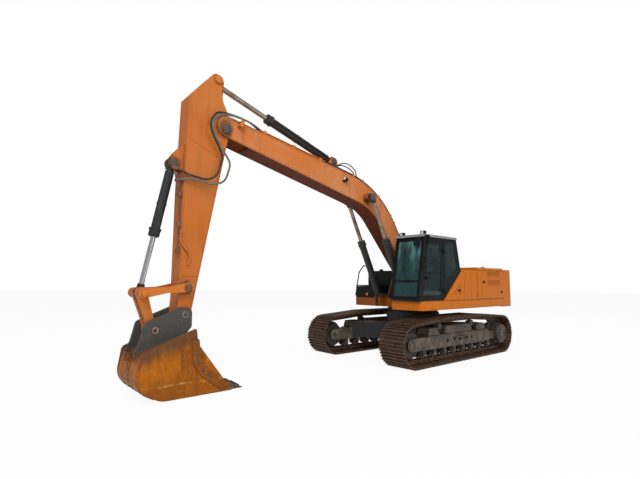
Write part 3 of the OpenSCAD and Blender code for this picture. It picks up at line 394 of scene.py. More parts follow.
# %% Helpers for pipes and for dressing a piece
def pipe(name, points, radius, sides=3):
    """A bent tube: a curve through the points with a round section, made a mesh."""
    data = bpy.data.curves.new(name, "CURVE")
    data.dimensions = "3D"
    data.bevel_depth = radius
    data.bevel_resolution = sides
    data.use_fill_caps = True
    line = data.splines.new("POLY")
    line.points.add(len(points) - 1)
    for knot, point in zip(line.points, points):
        knot.co = (*point, 1)
    piece = bpy.data.objects.new(name, data)
    bpy.context.scene.collection.objects.link(piece)
    activate(piece)
    bpy.ops.object.convert(target="MESH")
    piece = bpy.context.object
    bpy.ops.object.shade_smooth_by_angle(angle=PIPE_SHARP)
    return piece


def through(points, steps):
    """A smooth line through the points, with steps knots from each to the next."""
    knots = [Vector(p) for p in points]
    line = []
    for i in range(len(knots) - 1):
        a, b, c, d = (knots[min(max(i + k, 0), len(knots) - 1)] for k in (-1, 0, 1, 2))
        for step in range(steps):
            t = step / steps
            line.append(0.5 * (2 * b + (c - a) * t + (2 * a - 5 * b + 4 * c - d) * t**2
                               + (3 * b - a - 3 * c + d) * t**3))
    return line + [knots[-1]]


def tube(name, points, steps, radius, sides=2):
    """A pipe along a smooth line through the points."""
    return pipe(name, through(points, steps), radius, sides)


def dress(piece, body, finish):
    """Smooth shading, a finish, the body that carries the piece and the record's material slot."""
    activate(piece)
    bpy.ops.object.shade_smooth_by_angle(angle=SHARP)
    piece.data.materials.clear()
    piece.data.materials.append(finish)
    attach(piece, body)
    return piece


print("helpers for pipes ready")

# %% [markdown]
# ## Hoses
# Two hydraulic hoses leave the steel lines on the boom's top, pass the side of the fork and hang in a
# loop before they reach the stick. Each is a fixed tube along a smooth line, and its length is printed.

# %% Hose finish
def hose_rubber(name, colour, dusty):
    """Rubber with a fine weave in its cover and dust in patches."""
    rubber = Finish(name)
    dust = rubber.noise(9, 5).between(0.45, 0.75)
    weave = rubber.noise(420, 2)
    colour_now = rubber.mix(dust * 0.55, colour, dusty)
    return rubber.surface(Base_Color=colour_now, Roughness=0.55 + dust * 0.3,
                          Normal=rubber.bump(weave, 0.002, 0.5))


black_hose = hose_rubber("black_hose", tone(28, 28, 28), tone(88, 80, 68))
grey_hose = hose_rubber("grey_hose", tone(96, 93, 82), tone(146, 134, 114))
print("hose finishes:", black_hose.name, grey_hose.name)

# %% Hoses from the boom to the stick
HOSE_R = 0.020
OUTER_ROUTE = [
    (5.307, 0.205, 5.094), (5.440, 0.255, 5.120), (5.600, 0.290, 5.155), (5.790, 0.302, 5.182),
    (5.998, 0.306, 5.189), (6.211, 0.315, 5.162), (6.350, 0.340, 5.090), (6.460, 0.380, 4.930),
    (6.450, 0.380, 4.790), (6.390, 0.370, 4.670), (6.270, 0.360, 4.490), (6.140, 0.360, 4.320),
    (6.080, 0.360, 4.210), (6.090, 0.360, 4.090), (6.180, 0.350, 3.850), (6.400, 0.340, 3.750),
    (6.580, 0.330, 3.770), (6.740, 0.305, 3.800), (6.855, 0.270, 3.790), (6.970, 0.186, 3.780)]
INNER_ROUTE = [
    (5.307, 0.150, 5.094), (5.440, 0.205, 5.134), (5.580, 0.245, 5.172), (5.760, 0.258, 5.205),
    (5.976, 0.262, 5.222), (6.187, 0.268, 5.217), (6.350, 0.285, 5.160), (6.470, 0.320, 4.960),
    (6.460, 0.320, 4.820), (6.400, 0.310, 4.700), (6.310, 0.300, 4.550), (6.230, 0.290, 4.410),
    (6.200, 0.290, 4.300), (6.230, 0.290, 4.200), (6.310, 0.290, 3.950), (6.500, 0.280, 3.840),
    (6.670, 0.270, 3.850), (6.840, 0.255, 3.880), (6.940, 0.232, 3.925), (7.020, 0.185, 3.960)]


def hang_hose(name, route, finish, node):
    line = through(route, 4)
    length = sum((b - a).length for a, b in zip(line, line[1:]))
    hose = pipe(name, line, HOSE_R, sides=3)
    hose.data.materials.append(finish)
    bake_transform(hose)
    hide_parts(node)
    print(name, "length", round(length, 3), "m")
    return hose


hang_hose("hose_outer", OUTER_ROUTE, grey_hose, "stick_hose_outer")
hang_hose("hose_inner", INNER_ROUTE, black_hose, "stick_hose_inner")

# %% [markdown]
# ## Painted steel
# The machine is a used one: its orange paint has faded in patches, dust lies on what faces up, rain has
# drawn streaks down the sides, and edges are rubbed down to dark primer. One function makes every
# painted finish, so that the boom can be chalkier than the doors while both age in the same way.


# %% Paint that ages
DUST = tone(170, 145, 112)
GREASE = tone(74, 40, 26)


def in_box(finish, low, high, soft=0.03):
    """1 inside the box from low to high, 0 outside it, with a soft edge."""
    mask = 1.0
    for name, start, end in zip("XYZ", low, high):
        along = finish.axis(name)
        mask = along.between(start - soft, start) * (1 - along.between(end, end + soft)) * mask
    return mask


def aged_paint(name, fresh, faded, grime_and_shade, bare, fade=0.5, dirt=0.35, wear=0.6, gloss=0.42, shine=0.2,
               underside_shade=0.25, underside_shade_tone=None, greasy=(), dark_boxes=()):
    """Faded patches, streaks, dust on top, dirt and painted shade in corners, painted shade below, darkened
    boxes, grease and worn edges.
    """
    paint = Finish(name)
    patches = paint.noise(0.9, 6, 0.6).between(0.35, 0.68)
    mottle = paint.noise(7, 5, 0.6)
    streaks = paint.noise(1.0, 5, 0.6, paint.stretched((9, 9, 0.9))).between(0.5, 0.78)
    specks = paint.noise(46, 3).between(0.64, 0.74)
    worn = paint.edges(0.012) * paint.noise(16, 4).between(0.38, 0.62)
    scratch = paint.noise(5, 2, 0.5, paint.stretched((1.2, 1.2, 30), (0.5, 0.9, 0.2))).between(0.70, 0.76)
    dusty = paint.facing_up().between(0.35, 0.95) * paint.noise(3, 5).between(0.3, 0.7)
    # Grime and painted shade: corners are darkened towards the grime tone, more where there is more dirt.
    corner_grime_and_shade = paint.crevices(0.12).between(0.25, 0.85)
    colour = paint.mix(patches * fade + mottle * 0.25 * fade, fresh, faded)
    colour = paint.mix(streaks * dirt, colour, grime_and_shade)
    colour = paint.mix(dusty * dirt * 0.9, colour, DUST)
    colour = paint.mix(corner_grime_and_shade * (dirt + 0.2), colour, grime_and_shade)
    # Painted shade: faces that turn down are darkened towards the underside tone.
    painted_underside_shade = (0 - paint.facing_up()).between(0.15, 0.6)
    colour = paint.mix(painted_underside_shade * underside_shade, colour, underside_shade_tone or grime_and_shade)
    # Each box darkens what lies in it towards its own tone, by its strength.
    for low, high, strength, box_tone in dark_boxes:
        colour = paint.mix(in_box(paint, low, high) * strength, colour, box_tone)
    for x, z, reach in greasy:
        along = paint.axis("X") - x
        above = paint.axis("Z") - z
        from_pin = along * along + above * above
        ooze = 1 - (from_pin + paint.noise(6, 4) * reach * reach).between(reach * reach, 2 * reach * reach)
        colour = paint.mix(ooze * 0.6, colour, GREASE)
    colour = paint.mix(specks * dirt * 0.7, colour, bare)
    colour = paint.mix(worn * wear, colour, bare)
    colour = paint.mix(scratch * wear * 0.4, colour, faded)
    rough = gloss + patches * 0.16 + streaks * 0.12 + corner_grime_and_shade * 0.1 + painted_underside_shade * underside_shade * 0.3
    peel = paint.noise(260, 2) * 0.4 + mottle
    return paint.surface(Base_Color=colour, Roughness=rough, Specular_IOR_Level=shine,
                         Normal=paint.bump(peel, 0.0025, 0.25))


print("paint recipe ready")

# %% [markdown]
# ## Orange, grey and black paints
# The boom is chalky and has painted shade below, the panels are the freshest, the links are rubbed most.
# Grease oozes from the pins of the arm, so those places are listed with their x, z and reach. Painted shade
# darkens the inside of the boom's fork, and the boom's foot and the front of the deck are darkened: each is
# a box with a strength.

# %% Painted finishes
GREASY_PINS = ((6.117, 4.917, 0.17), (7.065, 4.083, 0.13), (6.786, 1.834, 0.12), (2.12, 4.05, 0.15))
SHADED_ORANGE = tone(82, 30, 8)
# Painted shade inside the boom's fork, in the same dark orange as the underside.
FORK_PAINTED_SHADE = ((5.4, -0.212, 4.3), (6.6, 0.212, 5.6), 0.9, SHADED_ORANGE)
# The boom's foot and the front of the deck are darkened.
FOOT_DARKENING = ((-0.15, -0.60, 1.53), (1.60, 0.60, 2.40), 0.85, tone(44, 37, 32))
DECK_DARKENING = ((0.20, -1.60, 1.20), (1.90, 0.58, 1.53), 0.65, tone(104, 54, 22))

boom_paint = aged_paint(
    "boom_paint", tone(196, 108, 44), tone(202, 136, 90), tone(124, 78, 46), tone(88, 58, 42),
    fade=0.8, dirt=0.35, underside_shade=0.95, underside_shade_tone=SHADED_ORANGE, greasy=GREASY_PINS, dark_boxes=(FORK_PAINTED_SHADE,))
stick_paint = aged_paint(
    "stick_paint", tone(188, 98, 26), tone(186, 112, 56), tone(112, 68, 38), tone(84, 56, 42),
    fade=0.6, dirt=0.35, underside_shade=0.5, greasy=GREASY_PINS)
panel_paint = aged_paint(
    "panel_paint", tone(206, 108, 6), tone(198, 117, 26), tone(132, 80, 34), tone(80, 56, 42),
    fade=0.35, dirt=0.25, wear=0.35, gloss=0.34, dark_boxes=(FOOT_DARKENING, DECK_DARKENING))
link_paint = aged_paint(
    "link_paint", tone(204, 110, 34), tone(194, 120, 62), tone(104, 68, 42), tone(70, 52, 42),
    fade=0.6, dirt=0.5, wear=0.9)
roof_paint = aged_paint(
    "roof_paint", tone(150, 152, 154), tone(136, 135, 132), tone(96, 90, 82), tone(70, 66, 62),
    fade=0.6, dirt=0.5)
charcoal = aged_paint(
    "charcoal_paint", tone(14, 16, 16), tone(22, 24, 24), tone(50, 44, 37), tone(82, 78, 71),
    fade=0.4, dirt=0.18, wear=0.3, gloss=0.36, shine=0.15)
barrel_black = aged_paint(
    "barrel_black", tone(34, 35, 37), tone(52, 52, 52), tone(86, 76, 62), tone(120, 112, 100),
    fade=0.5, dirt=0.35, wear=0.5, gloss=0.32)
under_black = aged_paint(
    "under_black", tone(40, 42, 48), tone(54, 53, 52), tone(84, 68, 52), tone(80, 64, 50),
    fade=0.6, dirt=0.5, wear=0.4, gloss=0.55)
print("painted finishes ready")

# %% [markdown]
# ## Dusty iron
# Tracks and their frames are bare or rusted iron under dry mud, with bright rims where they rub. One
# recipe mixes iron, rust, caked mud and rubbed metal, and its share of mud is what sets a track apart from
# a frame. Its last argument is the dark tone that corners get, partly dirt and partly painted shade.


# %% Iron finishes
def dusty_iron(name, iron, rust, mud, rub, mud_share=0.55, corner_grime_and_shade_tone=tone(58, 48, 40)):
    """Rust over iron, mud caked on it in patches, dirt and painted shade in corners, and rubbed edges."""
    metal = Finish(name)
    caked = metal.noise(5, 6, 0.65).between(0.62 - mud_share * 0.4, 0.72)
    rusty = metal.noise(18, 5, 0.6).between(0.4, 0.65)
    rubbed = metal.edges(0.008) * metal.noise(22, 3).between(0.35, 0.6)
    corner_grime_and_shade = metal.crevices(0.1).between(0.2, 0.8)
    colour = metal.mix(rusty, iron, rust)
    colour = metal.mix(caked * 0.85, colour, mud)
    # Grime and painted shade: corners are darkened towards the corner tone.
    colour = metal.mix(corner_grime_and_shade * 0.7, colour, corner_grime_and_shade_tone)
    colour = metal.mix(rubbed * 0.7, colour, rub)
    grit = metal.noise(90, 4, 0.7) + caked
    rough = 0.62 + caked * 0.25 - rubbed * 0.25
    return metal.surface(Base_Color=colour, Roughness=rough, Metallic=rubbed * 0.6,
                         Normal=metal.bump(grit, 0.006, 0.35))


track_iron = dusty_iron(
    "track_iron", tone(56, 37, 22), tone(90, 56, 31), tone(116, 80, 48), tone(154, 118, 80), 0.35,
    tone(24, 16, 10))
frame_iron = dusty_iron(
    "frame_iron", tone(66, 60, 55), tone(86, 72, 58), tone(124, 106, 86), tone(120, 112, 102), 0.5,
    tone(34, 29, 25))
idler_iron = dusty_iron(
    "idler_iron", tone(34, 32, 31), tone(52, 42, 34), tone(74, 62, 50), tone(104, 96, 88), 0.3,
    tone(22, 19, 17))
dark_iron = dusty_iron(
    "dark_iron", tone(62, 62, 60), tone(84, 70, 58), tone(112, 96, 78), tone(150, 144, 134), 0.3)
rust_line = dusty_iron(
    "rust_line", tone(104, 62, 48), tone(124, 74, 52), tone(140, 104, 78), tone(150, 120, 96), 0.2)
print("iron finishes ready")

# %% [markdown]
# ## Bucket steel
# The bucket is worn through its paint: golden rust, dark streaks down its sides, pale scuffs and one worn
# line along the way that soil slides. The ears are bare grey plates that end at the sloping top plate, and
# soil has darkened the strip below it. All of it is one finish on one mesh, so each zone is found by its
# place: by the distance from the middle for cutters and ears, by the height over the top plate for soil.

# %% Bucket finish
PLATE_X = 6.7826
PLATE_Z = 1.0271
PLATE_FALL = 0.3333
CUTTER_Y = 0.552
EAR_Y = (0.195, 0.262)

bucket_steel = Finish("bucket_steel")
across = bucket_steel.axis("Y").math("ABSOLUTE", bucket_steel.axis("Y"))
height = bucket_steel.axis("Z")
over_plate = height + (bucket_steel.axis("X") - PLATE_X) * PLATE_FALL
paint_left = bucket_steel.noise(1.7, 6, 0.62).between(0.38, 0.62)
flakes = bucket_steel.noise(11, 6, 0.68).between(0.5, 0.7)
run_down = bucket_steel.stretched((7, 7, 1.1), (0, 0.12, 0))
streak = bucket_steel.noise(1.6, 5, 0.65, run_down).between(0.45, 0.7)
scuff = bucket_steel.noise(9, 6, 0.75).between(0.56, 0.68)
low_wear = 1 - height.between(0.08, 0.55)
line_z = height + bucket_steel.noise(4, 5) * 0.09
worn_line = line_z.between(0.27, 0.29) * (1 - line_z.between(0.295, 0.32))
worn_line = worn_line * bucket_steel.noise(7, 5).between(0.4, 0.6)
soil = (over_plate - 0.90 + bucket_steel.noise(5, 5) * 0.2).between(0.0, 0.2)
ears = across.between(EAR_Y[0], EAR_Y[0] + 0.005) * (1 - across.between(EAR_Y[1], EAR_Y[1] + 0.005))
ears = ears * (over_plate - PLATE_Z).between(0.0, 0.012)
rim = bucket_steel.edges(0.014) * bucket_steel.noise(14, 4).between(0.3, 0.55)

steel_tone = bucket_steel.mix(paint_left, tone(178, 98, 8), tone(146, 80, 12))
ear_tone = bucket_steel.mix(flakes, tone(74, 74, 70), tone(94, 84, 72))
for mask, layer in (
        (flakes * 0.45, tone(118, 66, 18)), (streak * 0.6, tone(100, 60, 22)),
        (scuff * 0.5, tone(206, 148, 80)), (low_wear * 0.4, tone(142, 80, 16)),
        (across.between(CUTTER_Y, CUTTER_Y + 0.004) * 0.45, tone(112, 64, 24)),
        (worn_line * 0.5, tone(214, 160, 92)), (soil * 0.75, tone(84, 60, 42)), (ears, ear_tone),
        (rim * 0.7, tone(104, 84, 68))):
    steel_tone = bucket_steel.mix(mask, steel_tone, layer)
bucket_steel.surface(Base_Color=steel_tone, Roughness=0.5 + flakes * 0.25, Specular_IOR_Level=0.15,
                     Normal=bucket_steel.bump(flakes + bucket_steel.noise(60, 4) * 0.5, 0.006, 0.4))
print("bucket finish ready")

# %% [markdown]
# ## Chrome, glass and cab furniture
# The bucket cylinder's rod is bright chrome, the others are dulled by a brown film. The windows are thin
# tinted panes: a part of them lets light through, and the windscreen has a pale patch of sky painted on as
# a reflection. The seat's cloth has a fine weave, plastics have a moulded grain, and lenses get ribs or
# facets.

# %% Chrome and glass
chrome = Finish("rod_chrome")
oil = chrome.noise(3, 4, 0.6, chrome.stretched((3, 3, 1))).between(0.4, 0.8)
chrome.surface(Base_Color=chrome.mix(oil, tone(212, 214, 216), tone(168, 160, 150)), Metallic=1.0,
               Roughness=0.14 + oil * 0.16)

dull_rod = Finish("dull_rod")
film = dull_rod.noise(4, 5, 0.6).between(0.35, 0.7)
dull_rod.surface(Base_Color=dull_rod.mix(film, tone(150, 138, 124), tone(120, 92, 70)), Metallic=0.85,
                 Roughness=0.3 + film * 0.25)

window = Finish("tinted_glass")
smear = window.noise(2.2, 4, 0.6).between(0.4, 0.8)
# The windscreen is a lighter teal, and a pale patch of sky is painted on it as a reflection.
in_front = window.axis("X").between(1.34, 1.40) * (1 - window.axis("Y").between(1.40, 1.42))
reflected_clouds = window.noise(1.8, 2, 0.4, window.stretched((1, 3, 0.8))).between(0.4, 0.65)
painted_sky_reflection = in_front * window.axis("Z").between(2.0, 2.7) * reflected_clouds
pane = window.mix(smear, tone(14, 36, 35), tone(24, 60, 57))
pane = window.mix(in_front * 0.5, pane, tone(40, 84, 82))
pane = window.mix(painted_sky_reflection * 0.7, pane, tone(92, 158, 156))
window.surface(Base_Color=pane, Roughness=0.03 + smear * 0.06, Alpha=0.7)
print("chrome and glass ready")

# %% Cloth, plastic, bronze, lenses
seat_cloth = Finish("seat_cloth")
threads = seat_cloth.node("ShaderNodeTexVoronoi", None, {"Vector": seat_cloth.place, "Scale": 160.0})
rubs = seat_cloth.noise(6, 4).between(0.4, 0.7)
seat_cloth.surface(Base_Color=seat_cloth.mix(rubs, tone(38, 38, 40), tone(58, 56, 54)), Roughness=0.9,
                   Normal=seat_cloth.bump(threads, 0.003, 0.6))

moulded = Finish("moulded_plastic")
grain = moulded.noise(300, 3)
plastic_tone = moulded.mix(moulded.noise(4, 4), tone(36, 37, 39), tone(54, 53, 51))
moulded.surface(Base_Color=plastic_tone, Roughness=0.6, Normal=moulded.bump(grain, 0.002, 0.4))

bronze = Finish("pin_bronze")
tarnish = bronze.noise(24, 4).between(0.35, 0.7)
bronze.surface(Base_Color=bronze.mix(tarnish, tone(186, 146, 122), tone(136, 100, 80)), Metallic=0.4,
               Roughness=0.38 + tarnish * 0.25)

amber = Finish("amber_lens")
ribs = amber.node("ShaderNodeTexWave", {"bands_direction": "Y"}, {"Vector": amber.place, "Scale": 40.0})
amber.surface(Base_Color=tone(230, 130, 20), Roughness=0.2, Normal=amber.bump(ribs, 0.002, 0.5))

lens = Finish("clear_lens")
facets = lens.node("ShaderNodeTexVoronoi", None, {"Vector": lens.place, "Scale": 60.0})
lens.surface(Base_Color=tone(214, 220, 222), Roughness=0.15, Normal=lens.bump(facets, 0.003, 0.5))

silver = Finish("mirror_silver")
silver_tone = silver.mix(silver.noise(5, 3), tone(206, 212, 216), tone(176, 182, 186))
silver.surface(Base_Color=silver_tone, Metallic=1.0, Roughness=0.06)

rubber = hose_rubber("seal_rubber", tone(26, 26, 26), tone(70, 66, 58))
print("finishes:", len(bpy.data.materials))

# %% [markdown]
# ## Finishes on the CAD nodes
# A node whose shape is right stays as it is and only gets a material in its slot. The table below goes from
# each finish to the nodes that wear it.

# %% Finishes on the CAD nodes
NODE_FINISH = {
    boom_paint: ["boom"],
    stick_paint: ["stick"],
    link_paint: ["idler_links", "power_link", "boom_lines"],
    panel_paint: ["revolving_frame", "counterweight", "hydraulic_tank", "left_panel", "deck_cover",
                  "engine_hood", "left_side_door", "right_pump_door", "lift_eyes"],
    roof_paint: ["cab_roof"],
    charcoal: ["cab_frame", "cab_door", "fuel_tank", "tool_box", "tool_box_lid", "handrails",
               "work_lamps", "mirrors"],
    barrel_black: ["boom_cylinder_barrels", "arm_cylinder_barrel", "bucket_cylinder_barrel"],
    rust_line: ["stick_lines"],
    under_black: ["carbody", "slew_ring", "engine"],
    frame_iron: ["track_frame_left", "track_frame_right", "track_rollers", "carrier_rollers"],
    idler_iron: ["front_idlers"],
    dark_iron: ["drive_sprockets", "bucket_teeth"],
    track_iron: ["track_left", "track_right"],
    bucket_steel.material: ["bucket"],
    chrome.material: ["bucket_cylinder_rod"],
    dull_rod.material: ["arm_cylinder_rod", "boom_cylinder_rods"],
    window.material: ["cab_glass", "door_glass"],
    seat_cloth.material: ["operator_seat"],
    moulded.material: ["control_consoles"],
    black_hose: ["stick_hose_inner"],
    grey_hose: ["stick_hose_outer"],
}
for finish, names in NODE_FINISH.items():
    for name in names:
        cad[name].data.materials.clear()
        cad[name].data.materials.append(finish)
print("CAD nodes with a finish:", sum(len(names) for names in NODE_FINISH.values()))

# %% [markdown]
# ## Track shoes
# A track is a chain of links with a steel shoe bolted to each. A shoe is a plate with three ribs, called
# grousers, that bite into the ground. One shoe is modelled and copied round the belt. The belt runs over
# the idler, the sprocket and two carrier rollers, so its line is arcs joined by straight runs.

# %% Line of the track
TUMBLER = (2.0, 0.517, 0.350)
CARRIER = (0.75, 0.873, 0.080)
TRACK_Y = 1.3
SHOE_W = 0.70
SHOE_T = 0.016
CHAIN_H = 0.115
GROUSER_H = 0.036
SHOE_STEP = 0.216
ARC_STEPS = 40


def belt_line(offset, step):
    """Points on the belt with their directions, about step apart, and the true pitch between them."""
    x, z, r = TUMBLER
    cx, cz, cr = CARRIER
    wheels = [(-x, z, r), (x, z, r), (cx, cz, cr), (-cx, cz, cr)]
    headings = []
    for a, b in zip(wheels, wheels[1:] + wheels[:1]):
        gap = math.hypot(b[0] - a[0], b[1] - a[1])
        headings.append(math.atan2(b[1] - a[1], b[0] - a[0]) - math.acos((a[2] - b[2]) / gap))
    dense = []
    for i, (wx, wz, wr) in enumerate(wheels):
        first, last = headings[i - 1], headings[i]
        while last < first:
            last += 2 * math.pi
        for k in range(ARC_STEPS + 1):
            angle = first + (last - first) * k / ARC_STEPS
            dense.append(Vector((wx, 0, wz)) + (wr + offset) * Vector((math.cos(angle), 0, math.sin(angle))))
    dense.append(dense[0])
    lengths = [(b - a).length for a, b in zip(dense, dense[1:])]
    count = round(sum(lengths) / step)
    pitch = sum(lengths) / count
    stations, walked, i = [], 0.0, 0
    for n in range(count):
        while walked + lengths[i] < n * pitch:
            walked += lengths[i]
            i += 1
        along = (dense[i + 1] - dense[i]).normalized()
        point = dense[i] + along * (n * pitch - walked)
        stations.append((point, along))
    return stations, pitch


shoe_stations, shoe_pitch = belt_line(CHAIN_H, SHOE_STEP)
print("shoes on a track:", len(shoe_stations), "pitch", round(shoe_pitch, 4), "m")

# %% One shoe
RIBS = (-0.074, 0.0, 0.074)
RIB_HALF = 0.011
SHOE_LAP = 0.012


def make_shoe():
    """A plate with three grousers: strips of its top face are extruded, and their tops get a rim."""
    half = shoe_pitch / 2 + SHOE_LAP
    deselect()
    bpy.ops.mesh.primitive_plane_add(size=1)
    shoe = bpy.context.object
    shoe.scale = (2 * half, SHOE_W, 1)
    settle(shoe, "shoe")
    for rib in RIBS:
        for edge in (-RIB_HALF, RIB_HALF):
            activate(shoe)
            bpy.ops.object.mode_set(mode="EDIT")
            bpy.ops.mesh.select_all(action="SELECT")
            bpy.ops.mesh.bisect(plane_co=(rib + edge, 0, 0), plane_no=(1, 0, 0))
            bpy.ops.object.mode_set(mode="OBJECT")
    applied(shoe, "SOLIDIFY", thickness=SHOE_T, offset=-1)
    tall = [f.index for f in shoe.data.polygons if abs(f.center.z) < 0.001 and f.normal.z > 0.9
            and min(abs(f.center.x - rib) for rib in RIBS) < 0.003]
    extrude(shoe, lambda f: f.index in tall, (0, 0, GROUSER_H))
    edit_faces(shoe, lambda f: f.normal.z > 0.9 and f.center.z > GROUSER_H / 2)
    bpy.ops.mesh.inset(thickness=0.003, use_individual=True, depth=0.0)
    bpy.ops.object.mode_set(mode="OBJECT")
    shoe.data.transform(Matrix.Translation((0, 0, SHOE_T)))
    return shoe


shoe = make_shoe()
print("one shoe:", len(shoe.data.polygons), "faces")

# %% One chain link and its bolts
RAIL_Y = 0.075
RAIL_HALF = 0.018
BOLT_X = 0.037


def make_link():
    """Two side rails of a link with rounded ends, and the four bolt heads that hold the shoe."""
    parts = []
    for side in (-1, 1):
        reach = shoe_pitch * 0.56
        rail = block("rail", (-reach, side * RAIL_Y - RAIL_HALF, -CHAIN_H + 0.004),
                     (reach, side * RAIL_Y + RAIL_HALF, -0.004))
        rounded(rail, 0.022, 2)
        inset(rail, lambda f: abs(f.normal.y) > 0.9 and f.area > 0.01, 0.022, -0.006)
        parts.append(rail)
    bush_x, bush_z = shoe_pitch / 2, -CHAIN_H * 0.5
    parts.append(drum("bush", (bush_x, -0.1, bush_z), (bush_x, 0.1, bush_z), 0.03, 12))
    for x in (-BOLT_X, BOLT_X):
        for y in (-RAIL_Y, RAIL_Y):
            parts.append(drum("bolt", (x, y, SHOE_T - 0.001), (x, y, SHOE_T + 0.014), 0.017, 6))
    return joined("link", parts)


link = make_link()
print("one link:", len(link.data.polygons), "faces")

# %% Two tracks
def run_of(master, name, side):
    copies = []
    for point, along in shoe_stations:
        outward = Vector((along.z, 0, -along.x))
        turn = Matrix((along, outward.cross(along), outward)).transposed().to_4x4()
        middle = Matrix.Translation(point + Vector((0, side * TRACK_Y, 0)))
        copies.append(copied(master, middle @ turn))
    return joined(name, copies)


for side, word in ((1, "left"), (-1, "right")):
    shoes = run_of(shoe, "track_shoes_" + word, side)
    dress(shoes, "undercarriage", track_iron)
    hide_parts("track_" + word)
    links = run_of(link, "track_links_" + word, side)
    dress(links, "undercarriage", track_iron)
    print(shoes.name, len(shoes.data.polygons), links.name, len(links.data.polygons))
for master in (shoe, link):
    bpy.data.objects.remove(master)

# %% [markdown]
# ## Places along the arm
# The pivots of the arm are known as x and z, because they all lie in the machine's middle plane. Boom,
# stick and bucket each have a frame at a pivot: u runs along the piece, w across it, y sideways. A detail
# is modelled where it is easy to measure and then moved into place by the frame's matrix. A line with
# rounded bends is needed for pipes, welds and wear strips, so it gets a helper too.

# %% Pivots and frames
BOOM_FOOT = (0.25, 2.05)
LIFT_BASE = (0.90, 1.50)
LIFT_EYE = (2.1407, 4.0801)
ARM_BASE = (3.1516, 4.8812)
ARM_EYE = (6.2898, 5.8817)
BOOM_TIP = (6.1171, 4.9167)
CURL_BASE = (7.0649, 4.0828)
CURL_EYE = (7.5276, 1.7471)
IDLER_PIVOT = (6.7860, 1.8345)
BUCKET_PIVOT = (6.8026, 1.3571)
BUCKET_LINK = (7.3216, 1.1181)


def frame_at(pivot, turn=0.0):
    return Matrix.Translation((pivot[0], 0, pivot[1])) @ Matrix.Rotation(math.radians(turn), 4, "Y")


BOOM = frame_at(BOOM_FOOT, -26.04)
STICK = frame_at(BOOM_TIP, 79.1)
BUCKET = frame_at(BUCKET_PIVOT)
MIRROR = Matrix.Scale(-1, 4, (0, 1, 0))
OUTWARD = (0, 1, 0)
print("frames of boom, stick and bucket ready")


# %% Mirrored pieces, lines and bolts
def moved(piece, matrix):
    piece.data.transform(matrix)
    if matrix.determinant() < 0:
        piece.data.flip_normals()
    return piece


def both_sides(piece):
    """The piece and its mirror image across the machine's middle, as one mesh."""
    twin = copied(piece, MIRROR)
    twin.data.flip_normals()
    return joined(piece.name, [piece, twin])


def bent(corners, steps=8):
    """A line in u and w through the corners, with each inner corner rounded by its own radius."""
    line = [Vector(corners[0][:2])]
    for before, (u, w, radius), after in zip(corners, corners[1:], corners[2:]):
        tip = Vector((u, w))
        back = (Vector(before[:2]) - tip).normalized()
        on = (Vector(after[:2]) - tip).normalized()
        half = back.angle(on) / 2
        middle = tip + (back + on).normalized() * (radius / math.sin(half))
        start = tip + back * (radius / math.tan(half))
        end = tip + on * (radius / math.tan(half))
        for k in range(steps + 1):
            line.append(middle + (start.lerp(end, k / steps) - middle).normalized() * radius)
    return line + [Vector(corners[-1][:2])]


def lifted(line, rise):
    """The line moved sideways to its left by rise."""
    moved_line = []
    for i, point in enumerate(line):
        way = (line[min(i + 1, len(line) - 1)] - line[max(i - 1, 0)]).normalized()
        moved_line.append(point + Vector((-way.y, way.x)) * rise)
    return moved_line


def bead(name, line, y, radius, matrix=Matrix.Identity(4), sides=2):
    """A thin pipe along a line in u and w, at one y: a weld, a seal or a straight pipe."""
    points = [matrix @ Vector((p[0], y, p[1])) for p in line]
    return pipe(name, points, radius, sides)


def hex_bolts(name, places, way, radius, height):
    """One bolt with its washer, copied to each place; way is the direction that its head points in."""
    turn = Vector(way).to_track_quat("Z", "Y").to_matrix().to_4x4()
    washer = drum("washer", (0, 0, -0.001), (0, 0, height * 0.25), radius * 1.35, 16)
    head = drum("head", (0, 0, 0), (0, 0, height), radius, 6, radius * 0.12)
    master = joined("bolt", [washer, head])
    bolts = joined(name, [copied(master, Matrix.Translation(place) @ turn) for place in places])
    bpy.data.objects.remove(master)
    return bolts


print("helpers for lines and bolts ready")

# %% [markdown]
# ## Pins
# Every pivot of the arm is a thick steel pin. Its end shows as a round head, and a small bar with a bolt,
# the keeper, stops it from turning. The head is a short drum whose outer face is inset, so that it has
# a rim like a turned part.

# %% Pin heads
PINS = [
    ("foot_pin", "upper", BOOM_FOOT, 0.336, 0.082),
    ("base_pin", "upper", LIFT_BASE, 0.550, 0.080),
    ("tip_pin", "boom", BOOM_TIP, 0.280, 0.086),
    ("arm_base_pin", "boom", ARM_BASE, 0.125, 0.074),
    ("rod_pin", "boom_rods", LIFT_EYE, 0.480, 0.076),
    ("ear_pin", "stick", ARM_EYE, 0.215, 0.068),
    ("cylinder_pin", "stick", CURL_BASE, 0.127, 0.074),
    ("idler_pin", "stick", IDLER_PIVOT, 0.322, 0.066),
    ("link_pin", "idler_links", CURL_EYE, 0.307, 0.060),
    ("bucket_pin", "bucket", BUCKET_PIVOT, 0.242, 0.062),
    ("bucket_link_pin", "bucket", BUCKET_LINK, 0.258, 0.056),
]


